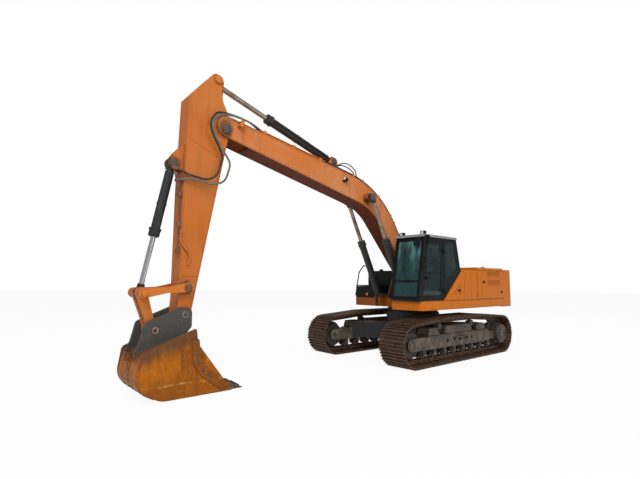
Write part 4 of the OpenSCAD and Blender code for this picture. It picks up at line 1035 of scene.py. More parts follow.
def pin_head(name, at, y, radius, keyed):
    """A turned head on each side, at y from the middle, with a keeper bar if it is keyed."""
    x, z = at
    head = drum(name, (x, y - 0.004, z), (x, y + 0.016, z), radius, 32, 0.004)
    inset(head, lambda f: f.normal.y > 0.9, radius * 0.28, -0.004)
    in_rim = lambda f: f.normal.y > 0.9 and f.center.y > y + 0.011 and len(f.vertices) > 8
    inset(head, in_rim, radius * 0.22, 0.006 if keyed else -0.014)
    if not keyed:
        return both_sides(head)
    keeper = block("keeper", (x - radius * 0.9, y, z - radius * 1.05),
                   (x + radius * 0.9, y + 0.012, z - radius * 0.72), 0.003)
    spots = [(x + s * radius * 0.62, y + 0.012, z - radius * 0.88) for s in (-1, 1)]
    bolts = hex_bolts("bolts", spots, OUTWARD, radius * 0.16, 0.010)
    return both_sides(joined(name, [head, keeper, bolts]))


PIN_FINISH = {"ear_pin": link_paint, "link_pin": link_paint, "idler_pin": rust_line,
              "bucket_pin": bronze.material, "bucket_link_pin": bronze.material}
for name, body, at, y, radius in PINS:
    finish = PIN_FINISH.get(name, dark_iron)
    dress(pin_head(name, at, y, radius, body != "bucket"), body, finish)
print("pin heads:", 2 * len(PINS))

# %% [markdown]
# ## Boom
# Two steel pipes carry oil up the boom's back and round its bend to the arm cylinder. Clamps on small
# stand-offs hold them. A weld runs round the edge of each side plate, and a work lamp sits on the left
# side. The pipes follow the boom's own top line, lifted by the height of a clamp.

# %% Pipes on the boom's back
BEND = (2.3, 1.5)
BEND_R = 2.5
TOP_END = (6.73, 0.225)


def boom_top(u):
    """Height of the boom's top line in front of its bend."""
    return BEND[1] + (u - BEND[0]) / (TOP_END[0] - BEND[0]) * (TOP_END[1] - BEND[1])


back = bent([(0.35, 0.3735), (*BEND, BEND_R), (4.15, boom_top(4.15))], 16)
pipes = [bead("boom_pipe", lifted(back, 0.045), y, 0.016, BOOM, 3) for y in (0.150, 0.205)]
pipes += [bead("boom_pipe", lifted(back, 0.030), -y, 0.010, BOOM, 2) for y in (0.165, 0.195)]
for y, rise in ((0.150, 0.20), (0.205, 0.26)):
    arch = [(3.10, y, 0.03), (3.22, y, rise * 0.7), (3.42, y * 0.95, rise), (3.62, y * 0.9, rise * 0.9),
            (3.78, y * 0.8, 0.06)]
    route = through([(u, aside, boom_top(u) + lift) for u, aside, lift in arch], 5)
    pipes.append(pipe("boom_pipe", [BOOM @ p for p in route], 0.014, 3))
dress(joined("boom_back_pipes", pipes), "boom", barrel_black)


def clamp_at(u, w, slope, y0, y1):
    """A stand-off block with a cap strip and two bolts, turned to the slope under it."""
    foot = block("foot", (-0.028, y0, -0.004), (0.028, y1, 0.038), 0.005)
    cap = block("cap", (-0.022, y0 + 0.006, 0.040), (0.022, y1 - 0.006, 0.070), 0.008)
    bolts = hex_bolts("bolts", [(0, y0 + 0.014, 0.070), (0, y1 - 0.014, 0.070)], (0, 0, 1), 0.009, 0.008)
    clamp = joined("clamp", [foot, cap, bolts])
    return moved(clamp, BOOM @ Matrix.Translation((u, 0, w)) @ Matrix.Rotation(-slope, 4, "Y"))


clamps = []
for i in (1, 3, 8, 13, 16):
    way = back[i + 1] - back[i - 1]
    for y0, y1 in ((0.118, 0.237), (-0.222, -0.138)):
        clamps.append(clamp_at(back[i].x, back[i].y, math.atan2(way.y, way.x), y0, y1))
dress(joined("boom_pipe_clamps", clamps), "boom", link_paint)
print("boom pipes", len(pipes), "and clamps", len(clamps))

# %% Welds and lamp of the boom
low_edge = lifted(bent([(0.0, -0.123), (2.35, 0.85, 1.4), (6.45, -0.133)], 12), 0.022)
top_edge = lifted(bent([(0.0, 0.171), (*BEND, BEND_R), (6.50, boom_top(6.50))], 12), -0.022)
cross = [(3.300, 0.640), (3.352, 1.180)]
welds = [bead("weld", line, 0.240, 0.005, BOOM) for line in (low_edge, top_edge, cross)]
dress(both_sides(joined("boom_welds", welds)), "boom", boom_paint)

lamp_frame = BOOM @ Matrix.Translation((3.452, 0, 0.918))
bracket = block("bracket", (-0.05, 0.236, -0.012), (0.03, 0.300, 0.004), 0.003)
housing = drum("housing", (-0.06, 0.290, 0.055), (0.035, 0.290, 0.055), 0.052, 24, 0.008)
inset(housing, lambda f: f.normal.x > 0.9, 0.007, -0.006)
stem = block("stem", (-0.03, 0.280, -0.006), (0.0, 0.300, 0.02), 0.003)
lamp = joined("boom_lamp", [housing, bracket, stem])
dress(moved(lamp, lamp_frame), "boom", charcoal)
glass = drum("boom_lamp_lens", (0.024, 0.290, 0.055), (0.034, 0.290, 0.055), 0.044, 24, 0.004)
dress(moved(glass, lamp_frame), "boom", lens.material)
print("boom welds", len(welds), "and a lamp")

# %% [markdown]
# ## Stick
# The stick is a box of thick plates. The welds between its plates show as raised lines on the sides. On
# the left a bent bar keeps the bucket cylinder's line from snagging, and rings round the bosses show
# where the pins are.

# %% Welds, bar and rings of the stick
STICK_SEAMS = [
    [(0.463, 0.655), (0.603, 0.030)],
    [(-0.300, 0.785), (1.074, 0.574), (1.340, 0.520), (3.300, 0.150)],
    [(-0.250, -0.010), (0.0, -0.082), (3.500, -0.092)],
    [(2.980, 0.200), (2.917, -0.085)],
]
seams = [bead("weld", line, 0.200, 0.005, STICK) for line in STICK_SEAMS]
dress(both_sides(joined("stick_welds", seams)), "stick", stick_paint)

bar_points = through([(2.18, 0.196, 0.372), (2.22, 0.215, 0.400), (2.40, 0.222, 0.350), (2.50, 0.222, 0.235),
                      (2.60, 0.220, 0.145), (2.74, 0.216, 0.136), (2.77, 0.196, 0.136)], 6)
bar = pipe("stick_bar", [STICK @ p for p in bar_points], 0.015, 3)
feet = [block("foot", (u - 0.025, 0.197, w - 0.02), (u + 0.025, 0.207, w + 0.02), 0.003)
        for u, w in ((2.2, 0.35), (2.75, 0.136))]
dress(joined("stick_bar", [bar] + [moved(foot, STICK) for foot in feet]), "stick", link_paint)

ring = drum("idler_ring", (3.153, 0.198, 0.074), (3.153, 0.212, 0.074), 0.122, 40, 0.004)
inset(ring, lambda f: f.normal.y > 0.9, 0.012, 0.002)
dress(both_sides(moved(ring, STICK)), "stick", rust_line)
ear_slot = bead("ear_slot", [(-0.985, 0.300), (-0.86, 0.235), (-0.66, 0.215)], 0.2005, 0.006, STICK)
dress(both_sides(ear_slot), "stick", rubber)
print("stick seams", len(seams), "and a ring on each side")

# %% [markdown]
# ## Bucket
# A digging bucket wears where soil slides. Strips of hard steel are welded round its heel, the side
# cutters are bolted to the front edges, and each tooth sits on an adapter with a cross pin. A strip is a
# plane whose end edge is extruded along the bend, then thickened.

# %% Wear strips
def ribbon(name, line, y0, y1, thickness):
    """A flat strip along a line in u and w: the last edge of a plane is extruded step by step."""
    deselect()
    bpy.ops.mesh.primitive_plane_add(size=1)
    strip = bpy.context.object
    strip.name = name
    first, second = line[0], line[1]
    for corner in strip.data.vertices:
        end = first if corner.co.x < 0 else second
        corner.co = (end[0], y0 if corner.co.y < 0 else y1, end[1])
    activate(strip)
    for before, after in zip(line[1:], line[2:]):
        bpy.ops.object.mode_set(mode="OBJECT")
        for corner in strip.data.vertices:
            corner.select = (Vector((corner.co.x, corner.co.z)) - before).length < 1e-5
        for edge in strip.data.edges:
            edge.select = all(strip.data.vertices[i].select for i in edge.vertices)
        for face in strip.data.polygons:
            face.select = False
        bpy.context.tool_settings.mesh_select_mode = (False, True, False)
        bpy.ops.object.mode_set(mode="EDIT")
        move = (after[0] - before[0], 0, after[1] - before[1])
        bpy.ops.mesh.extrude_region_move(TRANSFORM_OT_translate={"value": move})
    bpy.ops.object.mode_set(mode="OBJECT")
    applied(strip, "SOLIDIFY", thickness=thickness, offset=0)
    activate(strip)
    bpy.ops.object.mode_set(mode="EDIT")
    bpy.ops.mesh.select_all(action="SELECT")
    bpy.ops.mesh.normals_make_consistent(inside=False)
    bpy.ops.object.mode_set(mode="OBJECT")
    return strip


heel = bent([(0.56, -1.318), (0.900, -1.134, 0.330), (0.815, -0.720)], 8)
strips = [ribbon("wear_strip", heel, y - 0.06, y + 0.06, 0.008) for y in (-0.40, 0.0, 0.40)]
dress(moved(joined("bucket_wear_strips", strips), BUCKET), "bucket", bucket_steel.material)
print("wear strips", len(strips))

# %% Welds, cutter bolts and tooth pins
ear_weld = [(-0.05, -0.315), (0.79, -0.595)]
beads = [bead("weld", ear_weld, y, 0.012) for y in (0.206, 0.256)]
side_line = bent([(-0.60, -1.337), (0.47, -1.337, 0.37), (0.888, -1.13, 0.32), (0.80, -0.60)], 8)
side_weld = bead("weld", side_line, 0.550, 0.006)
bucket_welds = both_sides(joined("bucket_welds", [side_weld] + beads))
dress(moved(bucket_welds, BUCKET), "bucket", bucket_steel.material)

cutter_line = bent([(-0.070, -0.420), (-0.130, -0.900, 0.55), (-0.640, -1.245)], 6)
spots = [cutter_line[i] for i in (1, 3, 5, 7)]
cutter_bolts = hex_bolts("cutter_bolts", [(p.x, 0.570, p.y) for p in spots], OUTWARD, 0.022, 0.014)
dress(moved(both_sides(cutter_bolts), BUCKET), "bucket", dark_iron)

TEETH = 5
BUCKET_W = 1.1
TOOTH_W = 0.11
END_GAPS = 0.08
tooth_gap = (BUCKET_W - TOOTH_W - END_GAPS) / (TEETH - 1)
tooth_parts = []
for i in range(TEETH):
    y = (i - (TEETH - 1) / 2) * tooth_gap
    tooth_parts.append(drum("tooth_pin", (-0.740, y - 0.064, -1.258), (-0.740, y + 0.064, -1.258),
                            0.016, 16, 0.003))
    tooth_parts.append(bead("ridge", [(-0.812, -1.212), (-0.985, -1.314)], y, 0.014))
dress(moved(joined("tooth_pins", tooth_parts), BUCKET), "bucket", dark_iron)
print("bucket details ready")

# %% [markdown]
# ## Hydraulic cylinders
# A cylinder's head is a bolted gland with a wiper ring round the rod. Oil enters through a block at the
# base and, by a thin steel pipe along the barrel, at the head. Each detail is made along the X axis and
# moved by a frame that points from the base pin to the rod's pin.

# %% Cylinder heads, ports and pipes
def pin_to_pin(start, end, y):
    slope = math.atan2(end[1] - start[1], end[0] - start[0])
    return Matrix.Translation((start[0], y, start[1])) @ Matrix.Rotation(-slope, 4, "Y")


def cylinder_head(length, barrel_r, rod_r):
    collar = drum("collar", (length - 0.135, 0, 0), (length - 0.095, 0, 0), barrel_r + 0.026, 40, 0.006)
    nose = drum("nose", (length - 0.004, 0, 0), (length + 0.020, 0, 0), barrel_r - 0.004, 40, 0.006)
    inset(nose, lambda f: f.normal.x > 0.9, (barrel_r - rod_r) * 0.55, -0.006)
    ring = [(length - 0.004, math.cos(a) * (barrel_r + 0.003), math.sin(a) * (barrel_r + 0.003))
            for a in (2 * math.pi * k / 10 for k in range(10))]
    bolts = hex_bolts("gland_bolts", ring, (1, 0, 0), 0.010, 0.016)
    clip = drum("clip", (length * 0.55, 0, 0), (length * 0.55 + 0.04, 0, 0), barrel_r + 0.006, 40, 0.003)
    return [collar, nose, bolts, clip]


def oil_pipe(length, barrel_r, side):
    """Base block, head block and the pipe that joins them, on the barrel's side."""
    out = side * (barrel_r + 0.028)
    near = side * barrel_r - 0.03
    far = side * barrel_r + 0.03
    base = block("base_port", (0.19, near, -0.032), (0.27, far, 0.032), 0.006)
    head = block("head_port", (length - 0.205, near, -0.030), (length - 0.14, far, 0.030), 0.006)
    route = [(0.25, out, 0), (0.34, out, 0.005), (length * 0.5, out, 0.005), (length - 0.2, out, 0)]
    return [base, head, tube("oil_pipe", route, 6, 0.013)]


CYLINDERS = [
    ("boom_left", "boom_barrels", LIFT_BASE, LIFT_EYE, 0.43, 1.72, 0.088, 0.050, 1),
    ("boom_right", "boom_barrels", LIFT_BASE, LIFT_EYE, -0.43, 1.72, 0.088, 0.050, -1),
    ("arm", "arm_barrel", ARM_BASE, ARM_EYE, 0.0, 1.98, 0.095, 0.055, 1),
    ("bucket", "bucket_barrel", CURL_BASE, CURL_EYE, 0.0, 1.37, 0.080, 0.045, 1),
]
for name, body, start, end, y, length, barrel_r, rod_r, side in CYLINDERS:
    parts = cylinder_head(length, barrel_r, rod_r) + oil_pipe(length, barrel_r, side)
    fittings = moved(joined(name + "_cylinder_fittings", parts), pin_to_pin(start, end, y))
    dress(fittings, body, barrel_black)
print("cylinders dressed:", len(CYLINDERS))

# %% Rod eyes
RODS = [
    ("boom_rods", LIFT_BASE, LIFT_EYE, 0.43, 0.050, 0.100, 0.050),
    ("boom_rods", LIFT_BASE, LIFT_EYE, -0.43, 0.050, 0.100, 0.050),
    ("arm_rod", ARM_BASE, ARM_EYE, 0.0, 0.055, 0.095, 0.070),
    ("bucket_rod", CURL_BASE, CURL_EYE, 0.0, 0.045, 0.095, 0.062),
]
for number, (body, start, end, y, rod_r, eye_r, half) in enumerate(RODS):
    reach = math.hypot(end[0] - start[0], end[1] - start[1])
    neck = drum("neck", (reach - eye_r - 0.055, 0, 0), (reach - eye_r + 0.02, 0, 0), rod_r + 0.018, 32, 0.008)
    band = drum("band", (reach, -half + 0.004, 0), (reach, half - 0.004, 0), eye_r + 0.004, 40, 0.010)
    nipple = drum("nipple", (reach, 0, eye_r), (reach, 0, eye_r + 0.022), 0.008, 10, 0.002)
    eye = moved(joined("rod_eye_%d" % number, [neck, band, nipple]), pin_to_pin(start, end, y))
    dress(eye, body, barrel_black)
print("rod eyes:", len(RODS))

# %% [markdown]
# ## Cab outside
# Rubber seals hold the panes. The windscreen is split by a bar, with the wiper's motor on it. A hatch
# and a gutter finish the roof, lenses go into the lamps, silvered glass into the mirror. Seals follow
# the outlines of the windows, each with rounded corners.

# %% Seals of the windows
PANE_Y = 1.447
SCREEN_LEAN = 0.28
CAB_H = 1.56


def screen_x(z):
    """The windscreen's x at a height: it leans back as it rises."""
    return 1.70 - SCREEN_LEAN * (z - 1.5) / CAB_H


def rear_x(z):
    """The rear window's x at a height: it leans forward."""
    return -0.14 + 0.18 * (z - 2.25) / 0.81


def closed_bend(corners):
    """A closed outline with rounded corners: the bends between the middles of its edges."""
    middle = ((corners[0][0] + corners[-1][0]) / 2, (corners[0][1] + corners[-1][1]) / 2)
    return bent([middle] + corners + [middle], 5)


door_window = [(screen_x(1.637) - 0.169, 1.637, 0.05), (screen_x(2.914) - 0.169, 2.914, 0.05),
               (0.722, 2.914, 0.05), (0.722, 1.637, 0.05)]
quarter_window = [(0.55, 1.96, 0.06), (0.55, 2.99, 0.06), (rear_x(2.99) + 0.08, 2.99, 0.06),
                  (rear_x(2.29) + 0.09, 2.29, 0.06)]
right_window = [(screen_x(1.92) - 0.09, 1.92, 0.06), (screen_x(2.99) - 0.09, 2.99, 0.06),
                (rear_x(2.99) + 0.08, 2.99, 0.06), (rear_x(2.29) + 0.09, 2.29, 0.06), (0.49, 1.92, 0.06)]
door_seal = bead("door_seal", closed_bend(door_window), PANE_Y, 0.011)
dress(door_seal, "cab_door", rubber)
side_seals = [bead("seal", closed_bend(quarter_window), PANE_Y, 0.012),
              bead("seal", closed_bend(right_window), 0.633, 0.012)]


def flat_seal(line_x, low, high, inset_x):
    """A seal round a pane that crosses the cab: its corners lie on the sloping line."""
    corners = [(0.692, low), (1.388, low), (1.388, high), (0.692, high), (0.692, low)]
    return pipe("seal", [Vector((line_x(z) + inset_x, y, z)) for y, z in corners], 0.012, 2)


side_seals.append(flat_seal(screen_x, 1.606, 2.970, -0.026))
side_seals.append(flat_seal(rear_x, 2.362, 2.968, 0.026))
dress(joined("cab_seals", side_seals), "upper", rubber)
print("window seals ready")

# %% Windscreen bar, wiper, hatch, gutter
bar_z = 1.98
bar_x = screen_x(bar_z)
screen_bar = block("screen_bar", (bar_x - 0.042, 0.68, bar_z - 0.022),
                   (bar_x - 0.010, 1.40, bar_z + 0.022), 0.006)
motor = block("wiper_motor", (bar_x - 0.014, 0.98, bar_z - 0.035),
              (bar_x + 0.016, 1.10, bar_z + 0.030), 0.010)
arm_line = [(screen_x(z) + 0.016, y, z) for y, z in ((1.04, 2.0), (0.96, 2.3), (0.93, 2.48))]
arm = pipe("wiper_arm", arm_line, 0.006, 2)
blade = block("wiper_blade", (-0.006, -0.006, -0.30), (0.010, 0.006, 0.30), 0.003)
lean = Matrix.Rotation(-math.atan2(SCREEN_LEAN, CAB_H), 4, "Y")
moved(blade, Matrix.Translation((screen_x(2.48) + 0.006, 0.93, 2.48)) @ lean)
dress(joined("windscreen_wiper", [screen_bar, motor, arm, blade]), "upper", charcoal)

hatch = block("roof_hatch", (0.34, 0.76, 3.118), (0.98, 1.32, 3.150), 0.014)
inset(hatch, lambda f: f.normal.z > 0.9 and f.area > 0.1, 0.07, -0.006)
inset(hatch, lambda f: f.normal.z > 0.9 and f.area > 0.1, 0.02, 0.004)
roof_edge = bent([(0.03, 0.60), (0.03, 1.484, 0.03), (1.462, 1.484, 0.03), (1.462, 0.596, 0.03),
                  (0.03, 0.596, 0.03), (0.03, 0.62)], 4)
gutter = pipe("gutter", [Vector((p.x, p.y, 3.066)) for p in roof_edge], 0.010, 2)
dress(joined("cab_roof_trim", [hatch, gutter]), "upper", roof_paint)
print("windscreen and roof trim ready")

# %% Door trim
handle = block("door_handle", (1.285, 1.464, 2.02), (1.375, 1.476, 2.10), 0.004)
grip = tube("grip", [(1.300, 1.470, 2.03), (1.302, 1.505, 2.04), (1.350, 1.508, 2.08), (1.362, 1.470, 2.09)],
            4, 0.008)
kick = block("kick_plate", (0.75, 1.466, 1.565), (1.42, 1.474, 1.622), 0.003)
rail = block("door_rail", (0.715, 1.424, 2.150), (screen_x(2.18) - 0.160, 1.460, 2.205), 0.006)
hold = tube("hold", [(1.440, 1.464, 2.24), (1.438, 1.505, 2.26), (1.392, 1.507, 2.52), (1.388, 1.464, 2.54)],
            5, 0.010, 3)
dress(joined("cab_door_trim", [handle, grip, kick, rail, hold]), "cab_door", charcoal)
print("door trim ready")

# %% Mirrors and lamps
LAMP_Y = (1.36, 0.72)
LAMP_Z = 3.165
mirror = block("mirror_glass", (1.410, 1.518, 2.885), (1.417, 1.612, 3.075), 0.003)
dress(mirror, "upper", silver.material)
round_back = drum("pillar_mirror", (1.470, 1.300, 2.905), (1.520, 1.290, 2.905), 0.105, 32, 0.018)
inset(round_back, lambda f: f.normal.x < -0.9, 0.010, -0.004)
stem_line = [(1.425, 1.405, 3.020), (1.470, 1.400, 3.030), (1.495, 1.370, 3.000), (1.495, 1.330, 2.960)]
stem = tube("stem", stem_line, 4, 0.011, 3)
dress(joined("pillar_mirror", [round_back, stem]), "upper", charcoal)
lenses = []
for y in LAMP_Y:
    dish = drum("lens", (1.356, y, LAMP_Z), (1.368, y, LAMP_Z), 0.040, 24, 0.005)
    lenses.append(inset(dish, lambda f: f.normal.x > 0.9, 0.008, -0.003))
dress(joined("lamp_lenses", lenses), "upper", lens.material)
rims = [drum("rim", (1.352, y, LAMP_Z), (1.364, y, LAMP_Z), 0.050, 24, 0.004) for y in LAMP_Y]
dress(joined("lamp_rims", rims), "upper", charcoal)
print("mirrors and", len(lenses), "lamps ready")

# %% [markdown]
# ## Cab inside
# The operator's seat has two upholstered cushions on a moulded pedestal. A cushion is a crowned form:
# a finely divided block is pushed out in its middle and pulled in along its sides, then smoothed by a
# subdivision surface, with a sewn welt round its edge. Consoles carry a joystick each, and two
# pedals with levers stand on the floor.

# %% Seat cushions
def cushion(name, size, crown, welt_z):
    """A padded block about the origin, with its crown on +Z and a welt at the height given."""
    length, width, height = size
    pad = block(name, (-length / 2, -width / 2, 0), (length / 2, width / 2, height))
    activate(pad)
    bpy.ops.object.mode_set(mode="EDIT")
    bpy.ops.mesh.select_all(action="SELECT")
    bpy.ops.mesh.subdivide(number_cuts=9)
    bpy.ops.object.mode_set(mode="OBJECT")
    for corner in pad.data.vertices:
        x, y, z = corner.co
        round_x = max(0, 1 - (2 * x / length) ** 2)
        round_y = max(0, 1 - (2 * y / width) ** 2)
        belly = math.sin(math.pi * min(max(z / height, 0), 1))
        channel = 0.5 + 0.5 * math.cos(2 * math.pi * y / width * 3)
        corner.co.z += crown * (round_x * round_y) ** 0.6 * (z / height) * (0.75 + 0.25 * channel)
        corner.co.x *= 1 - 0.06 * (1 - belly) - 0.03 * round_y
        corner.co.y *= 1 - 0.06 * (1 - belly) - 0.03 * round_x
    applied(pad, "SUBSURF", levels=1, render_levels=1)
    half_x, half_y, turn = 0.46 * length, 0.45 * width, 0.05
    edge = [(-half_x, -half_y), (half_x, -half_y, turn), (half_x, half_y, turn), (-half_x, half_y, turn),
            (-half_x, -half_y, turn), (-0.3 * length, -half_y)]
    welt = pipe("welt", [Vector((p.x, p.y, welt_z)) for p in bent(edge, 4)], 0.006, 2)
    return joined(name, [pad, welt])


seat_y = 1.04
squab = cushion("seat_squab", (0.50, 0.45, 0.125), 0.035, 0.105)
moved(squab, Matrix.Translation((0.875, seat_y, 1.802)))
lean_back = Matrix.Rotation(math.radians(80.0), 4, "Y") @ Matrix.Translation((0, 0, -0.045))
backrest = cushion("seat_back", (0.58, 0.43, 0.105), 0.030, 0.085)
moved(backrest, Matrix.Translation((0.558, seat_y, 2.195)) @ lean_back)
headrest = cushion("seat_head", (0.14, 0.26, 0.085), 0.015, 0.06)
moved(headrest, Matrix.Translation((0.498, seat_y, 2.560)) @ lean_back)
for pad in (squab, backrest, headrest):
    dress(pad, "upper", seat_cloth.material)
    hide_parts("operator_seat")
print("seat cushions ready")

# %% Seat base
pedestal = block("seat_pedestal", (0.78, 0.89, 1.562), (1.02, 1.19, 1.77), 0.02)
inset(pedestal, lambda f: abs(f.normal.y) > 0.9 and f.area > 0.01, 0.03, -0.008)
tray = block("tray", (0.66, 0.84, 1.755), (1.09, 1.24, 1.806), 0.012)
posts = [drum("post", (0.50, y, 2.50), (0.485, y, 2.60), 0.008, 12) for y in (seat_y - 0.07, seat_y + 0.07)]
frame_back = block("frame_back", (-0.012, -0.17, -0.30), (0.012, 0.17, 0.30), 0.008)
moved(frame_back, Matrix.Translation((0.515, seat_y, 2.20)) @ Matrix.Rotation(math.radians(-10.0), 4, "Y"))
base = joined("seat_base", [pedestal, tray, frame_back] + posts)
dress(base, "upper", moulded.material)
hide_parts("operator_seat")
print("seat base ready")

# %% Joysticks, armrests, pedals, display
PEDAL_X = 1.30
PEDAL_Z = 1.590
controls = []
for s in (-1, 1):
    y = seat_y + s * 0.2967
    controls.append(block("armrest", (0.76, y - 0.042, 2.058), (1.02, y + 0.042, 2.085), 0.012))
    boot = drum("boot", (1.09, y, 2.055), (1.09, y, 2.105), 0.034, 20)
    extrude(boot, lambda f: f.normal.z > 0.9, (0, 0, 0.03), 0.55)
    stalk = pipe("stalk", [(1.09, y, 2.11), (1.092, y, 2.17), (1.100, y, 2.21)], 0.010, 2)
    knob = block("knob", (1.078, y - 0.020, 2.195), (1.124, y + 0.020, 2.275), 0.014, 3)
    controls += [boot, stalk, knob]
    foot_y = seat_y + s * 0.07
    lever = tube("travel_lever", [(1.36, foot_y, 1.59), (1.37, foot_y, 1.80), (1.30, foot_y, 2.02)], 5, 0.009)
    pedal = block("pedal", (PEDAL_X, foot_y - 0.045, PEDAL_Z), (1.48, foot_y + 0.045, 1.606), 0.004)
    heel_point = Matrix.Translation((PEDAL_X, 0, PEDAL_Z))
    moved(pedal, heel_point @ Matrix.Rotation(math.radians(-14), 4, "Y") @ heel_point.inverted())
    controls += [lever, pedal]
display = block("display", (1.30, 0.690, 2.02), (1.34, 0.86, 2.16), 0.008)
inset(display, lambda f: f.normal.x < -0.9, 0.014, -0.004)
stand = pipe("stand", [(1.32, 0.775, 2.05), (1.33, 0.72, 1.95), (1.36, 0.674, 1.90)], 0.010, 2)
dress(joined("cab_controls", controls + [display, stand]), "upper", moulded.material)
print("controls", len(controls) + 2)

# %% [markdown]
# ## Upper structure
# Thin sheet doors close the engine bay. Their louvres are slots under pressed lips, and latches, seams
# and bolts break up the panels. The lips are one slat copied to each slot of the CAD door. A dark
# screen behind the slots stands for the radiator's mesh.

# %% Louvres of the bay doors
SLOT_STEP = 0.034
SLOTS = [1.89 + SLOT_STEP * i for i in range(5)] + [2.15 + SLOT_STEP * i for i in range(4)]


def louvre_lip():
    """A thin bar whose outer face is pulled down and out."""
    lip = block("lip", (-2.205, 1.487, 0.010), (-1.505, 1.496, 0.024), 0.003)
    edit_faces(lip, lambda f: f.normal.y > 0.9)
    bpy.ops.transform.translate(value=(0, 0.010, -0.010))
    bpy.ops.object.mode_set(mode="OBJECT")
    return lip


lip = louvre_lip()
screen = block("louvre_screen", (-2.23, 1.440, 1.86), (-1.48, 1.449, 2.28), 0.003)
for body, matrix in (("left_side_door", Matrix.Identity(4)), ("right_pump_door", MIRROR)):
    lips = joined(body + "_louvres", [copied(lip, matrix @ Matrix.Translation((0, 0, z))) for z in SLOTS])
    backing = copied(screen, matrix)
    backing.name = body + "_screen"
    if matrix.determinant() < 0:
        lips.data.flip_normals()
        backing.data.flip_normals()
    dress(lips, body, panel_paint)
    dress(backing, body, barrel_black)
for master in (lip, screen):
    bpy.data.objects.remove(master)
print("louvre lips:", 2 * len(SLOTS))

# %% Latches, seams and bolts of the panels
SIDE_Y = 1.49


def latch(x, z, y=SIDE_Y):
    """A sunk cup with a paddle in it."""
    cup = block("cup", (x - 0.055, y - 0.004, z - 0.036), (x + 0.055, y + 0.006, z + 0.036), 0.004)
    inset(cup, lambda f: f.normal.y > 0.9 and f.area > 0.004, 0.010, -0.005)
    paddle = block("paddle", (x - 0.036, y, z - 0.014), (x + 0.036, y + 0.008, z + 0.016), 0.004)
    return joined("latch", [cup, paddle])


def seam(x, low, high):
    """A dark upright line where two sheets meet."""
    return block("seam", (x - 0.004, SIDE_Y - 0.006, low), (x + 0.004, SIDE_Y + 0.0015, high))


def door_fittings(name):
    return joined(name, [latch(-1.30, 1.97), latch(-2.30, 1.68), seam(-1.16, 1.515, 2.275)])


dress(door_fittings("left_door_fittings"), "left_side_door", charcoal)
dress(moved(door_fittings("right_door_fittings"), MIRROR), "right_pump_door", charcoal)

flap = bent([(0.08, 1.66), (-0.10, 1.66, 0.02), (-0.10, 1.93, 0.03), (0.26, 1.66, 0.02), (0.06, 1.66)], 4)
flap_rim = bead("flap_rim", flap, SIDE_Y, 0.005)
panel_bits = [flap_rim, latch(-0.02, 1.745), seam(-0.28, 1.54, 2.08), seam(-0.60, 1.54, 2.26)]
dress(joined("left_panel_fittings", panel_bits), "upper", charcoal)
spots = [(x, SIDE_Y, 1.56) for x in (-0.86, -0.44, 0.04)]
spots += [(x, SIDE_Y, 2.245) for x in (-0.86, -0.52, -0.24)]
panel_bolts = hex_bolts("panel_bolts", spots, OUTWARD, 0.011, 0.008)
dress(both_sides(panel_bolts), "upper", dark_iron)
print("panel fittings ready")

# %% [markdown]
# ## Skirt of the deck
# A strip of sheet runs along the deck's left edge and round its front corner, with a folded lip below and
# a dark gap above. The ribbon helper makes it lying in u and w, and a matrix that trades y for z lays the
# line flat and stands the strip up.

# %% Skirt and gaps
FLAT = Matrix(((1, 0, 0, 0), (0, 0, 1, 0), (0, 1, 0, 0), (0, 0, 0, 1)))
deck_edge = bent([(-2.40, 1.494), (1.604, 1.494, 0.124), (1.604, 0.60)], 8)
skirt = moved(ribbon("skirt", deck_edge, 1.300, 1.482, 0.012), FLAT)
lip = pipe("skirt_lip", [Vector((p.x, p.y - 0.004, 1.288)) for p in lifted(deck_edge, 0.004)], 0.012, 3)
dress(joined("deck_skirt", [skirt, lip]), "upper", panel_paint)
gaps = []
for side, end in ((1, 0.66), (-1, 0.22)):
    gaps.append(bead("deck_gap", [(-2.40, 1.499), (end, 1.499)], side * 1.489, 0.006))
dress(joined("deck_gaps", gaps), "upper", rubber)
print("deck skirt ready")

# %% [markdown]
# ## Hood, tanks and tail
# On top are a hood with a raised grille and a short exhaust, filler caps on the tanks and rough tread
# plates to walk on. The cast tail has a parting line all round and covers over the bolts that hold it.

# %% Hood grille
grille = block("hood_grille", (-2.12, -0.55, 2.366), (-1.32, 0.65, 2.392), 0.008)
inset(grille, lambda f: f.normal.z > 0.9 and f.area > 0.2, 0.05, -0.008)
slats = []
slat = block("slat", (-0.008, -0.54, 0), (0.008, 0.64, 0.018), 0.003)
moved(slat, Matrix.Rotation(math.radians(24), 4, "Y"))
for i in range(15):
    slats.append(copied(slat, Matrix.Translation((-2.06 + 0.048 * i, 0, 2.378))))
bpy.data.objects.remove(slat)
dress(joined("hood_grille", [grille] + slats), "engine_hood", charcoal)
print("hood grille:", len(slats), "slats")

# %% Exhaust and tread
skirt = drum("skirt", (-1.25, -0.95, 2.366), (-1.25, -0.95, 2.40), 0.085, 32, 0.008)
stack_line = [(-1.25, -0.95, 2.38), (-1.25, -0.95, 2.52), (-1.27, -0.95, 2.58), (-1.35, -0.95, 2.61)]
stack = tube("stack", stack_line, 6, 0.045, 5)
inset(skirt, lambda f: f.normal.z > 0.9, 0.02, -0.004)
dress(joined("exhaust", [skirt, stack]), "engine_hood", rust_line)

tread = block("tread_plate", (-2.20, 0.90, 2.367), (-1.05, 1.36, 2.374), 0.003)
stud = drum("stud", (0, 0, 0), (0, 0, 0.007), 0.014, 8)


def stud_rows(x, y, z, columns, rows, row_step):
    places = [(x + 0.074 * i, y + row_step * k, z) for i in range(columns) for k in range(rows)]
    return [copied(stud, Matrix.Translation(place)) for place in places]


studs = stud_rows(-2.14, 0.95, 2.373, 15, 6, 0.072)
dress(joined("hood_tread", [tread] + studs), "engine_hood", charcoal)
print("hood tread:", len(studs), "studs")

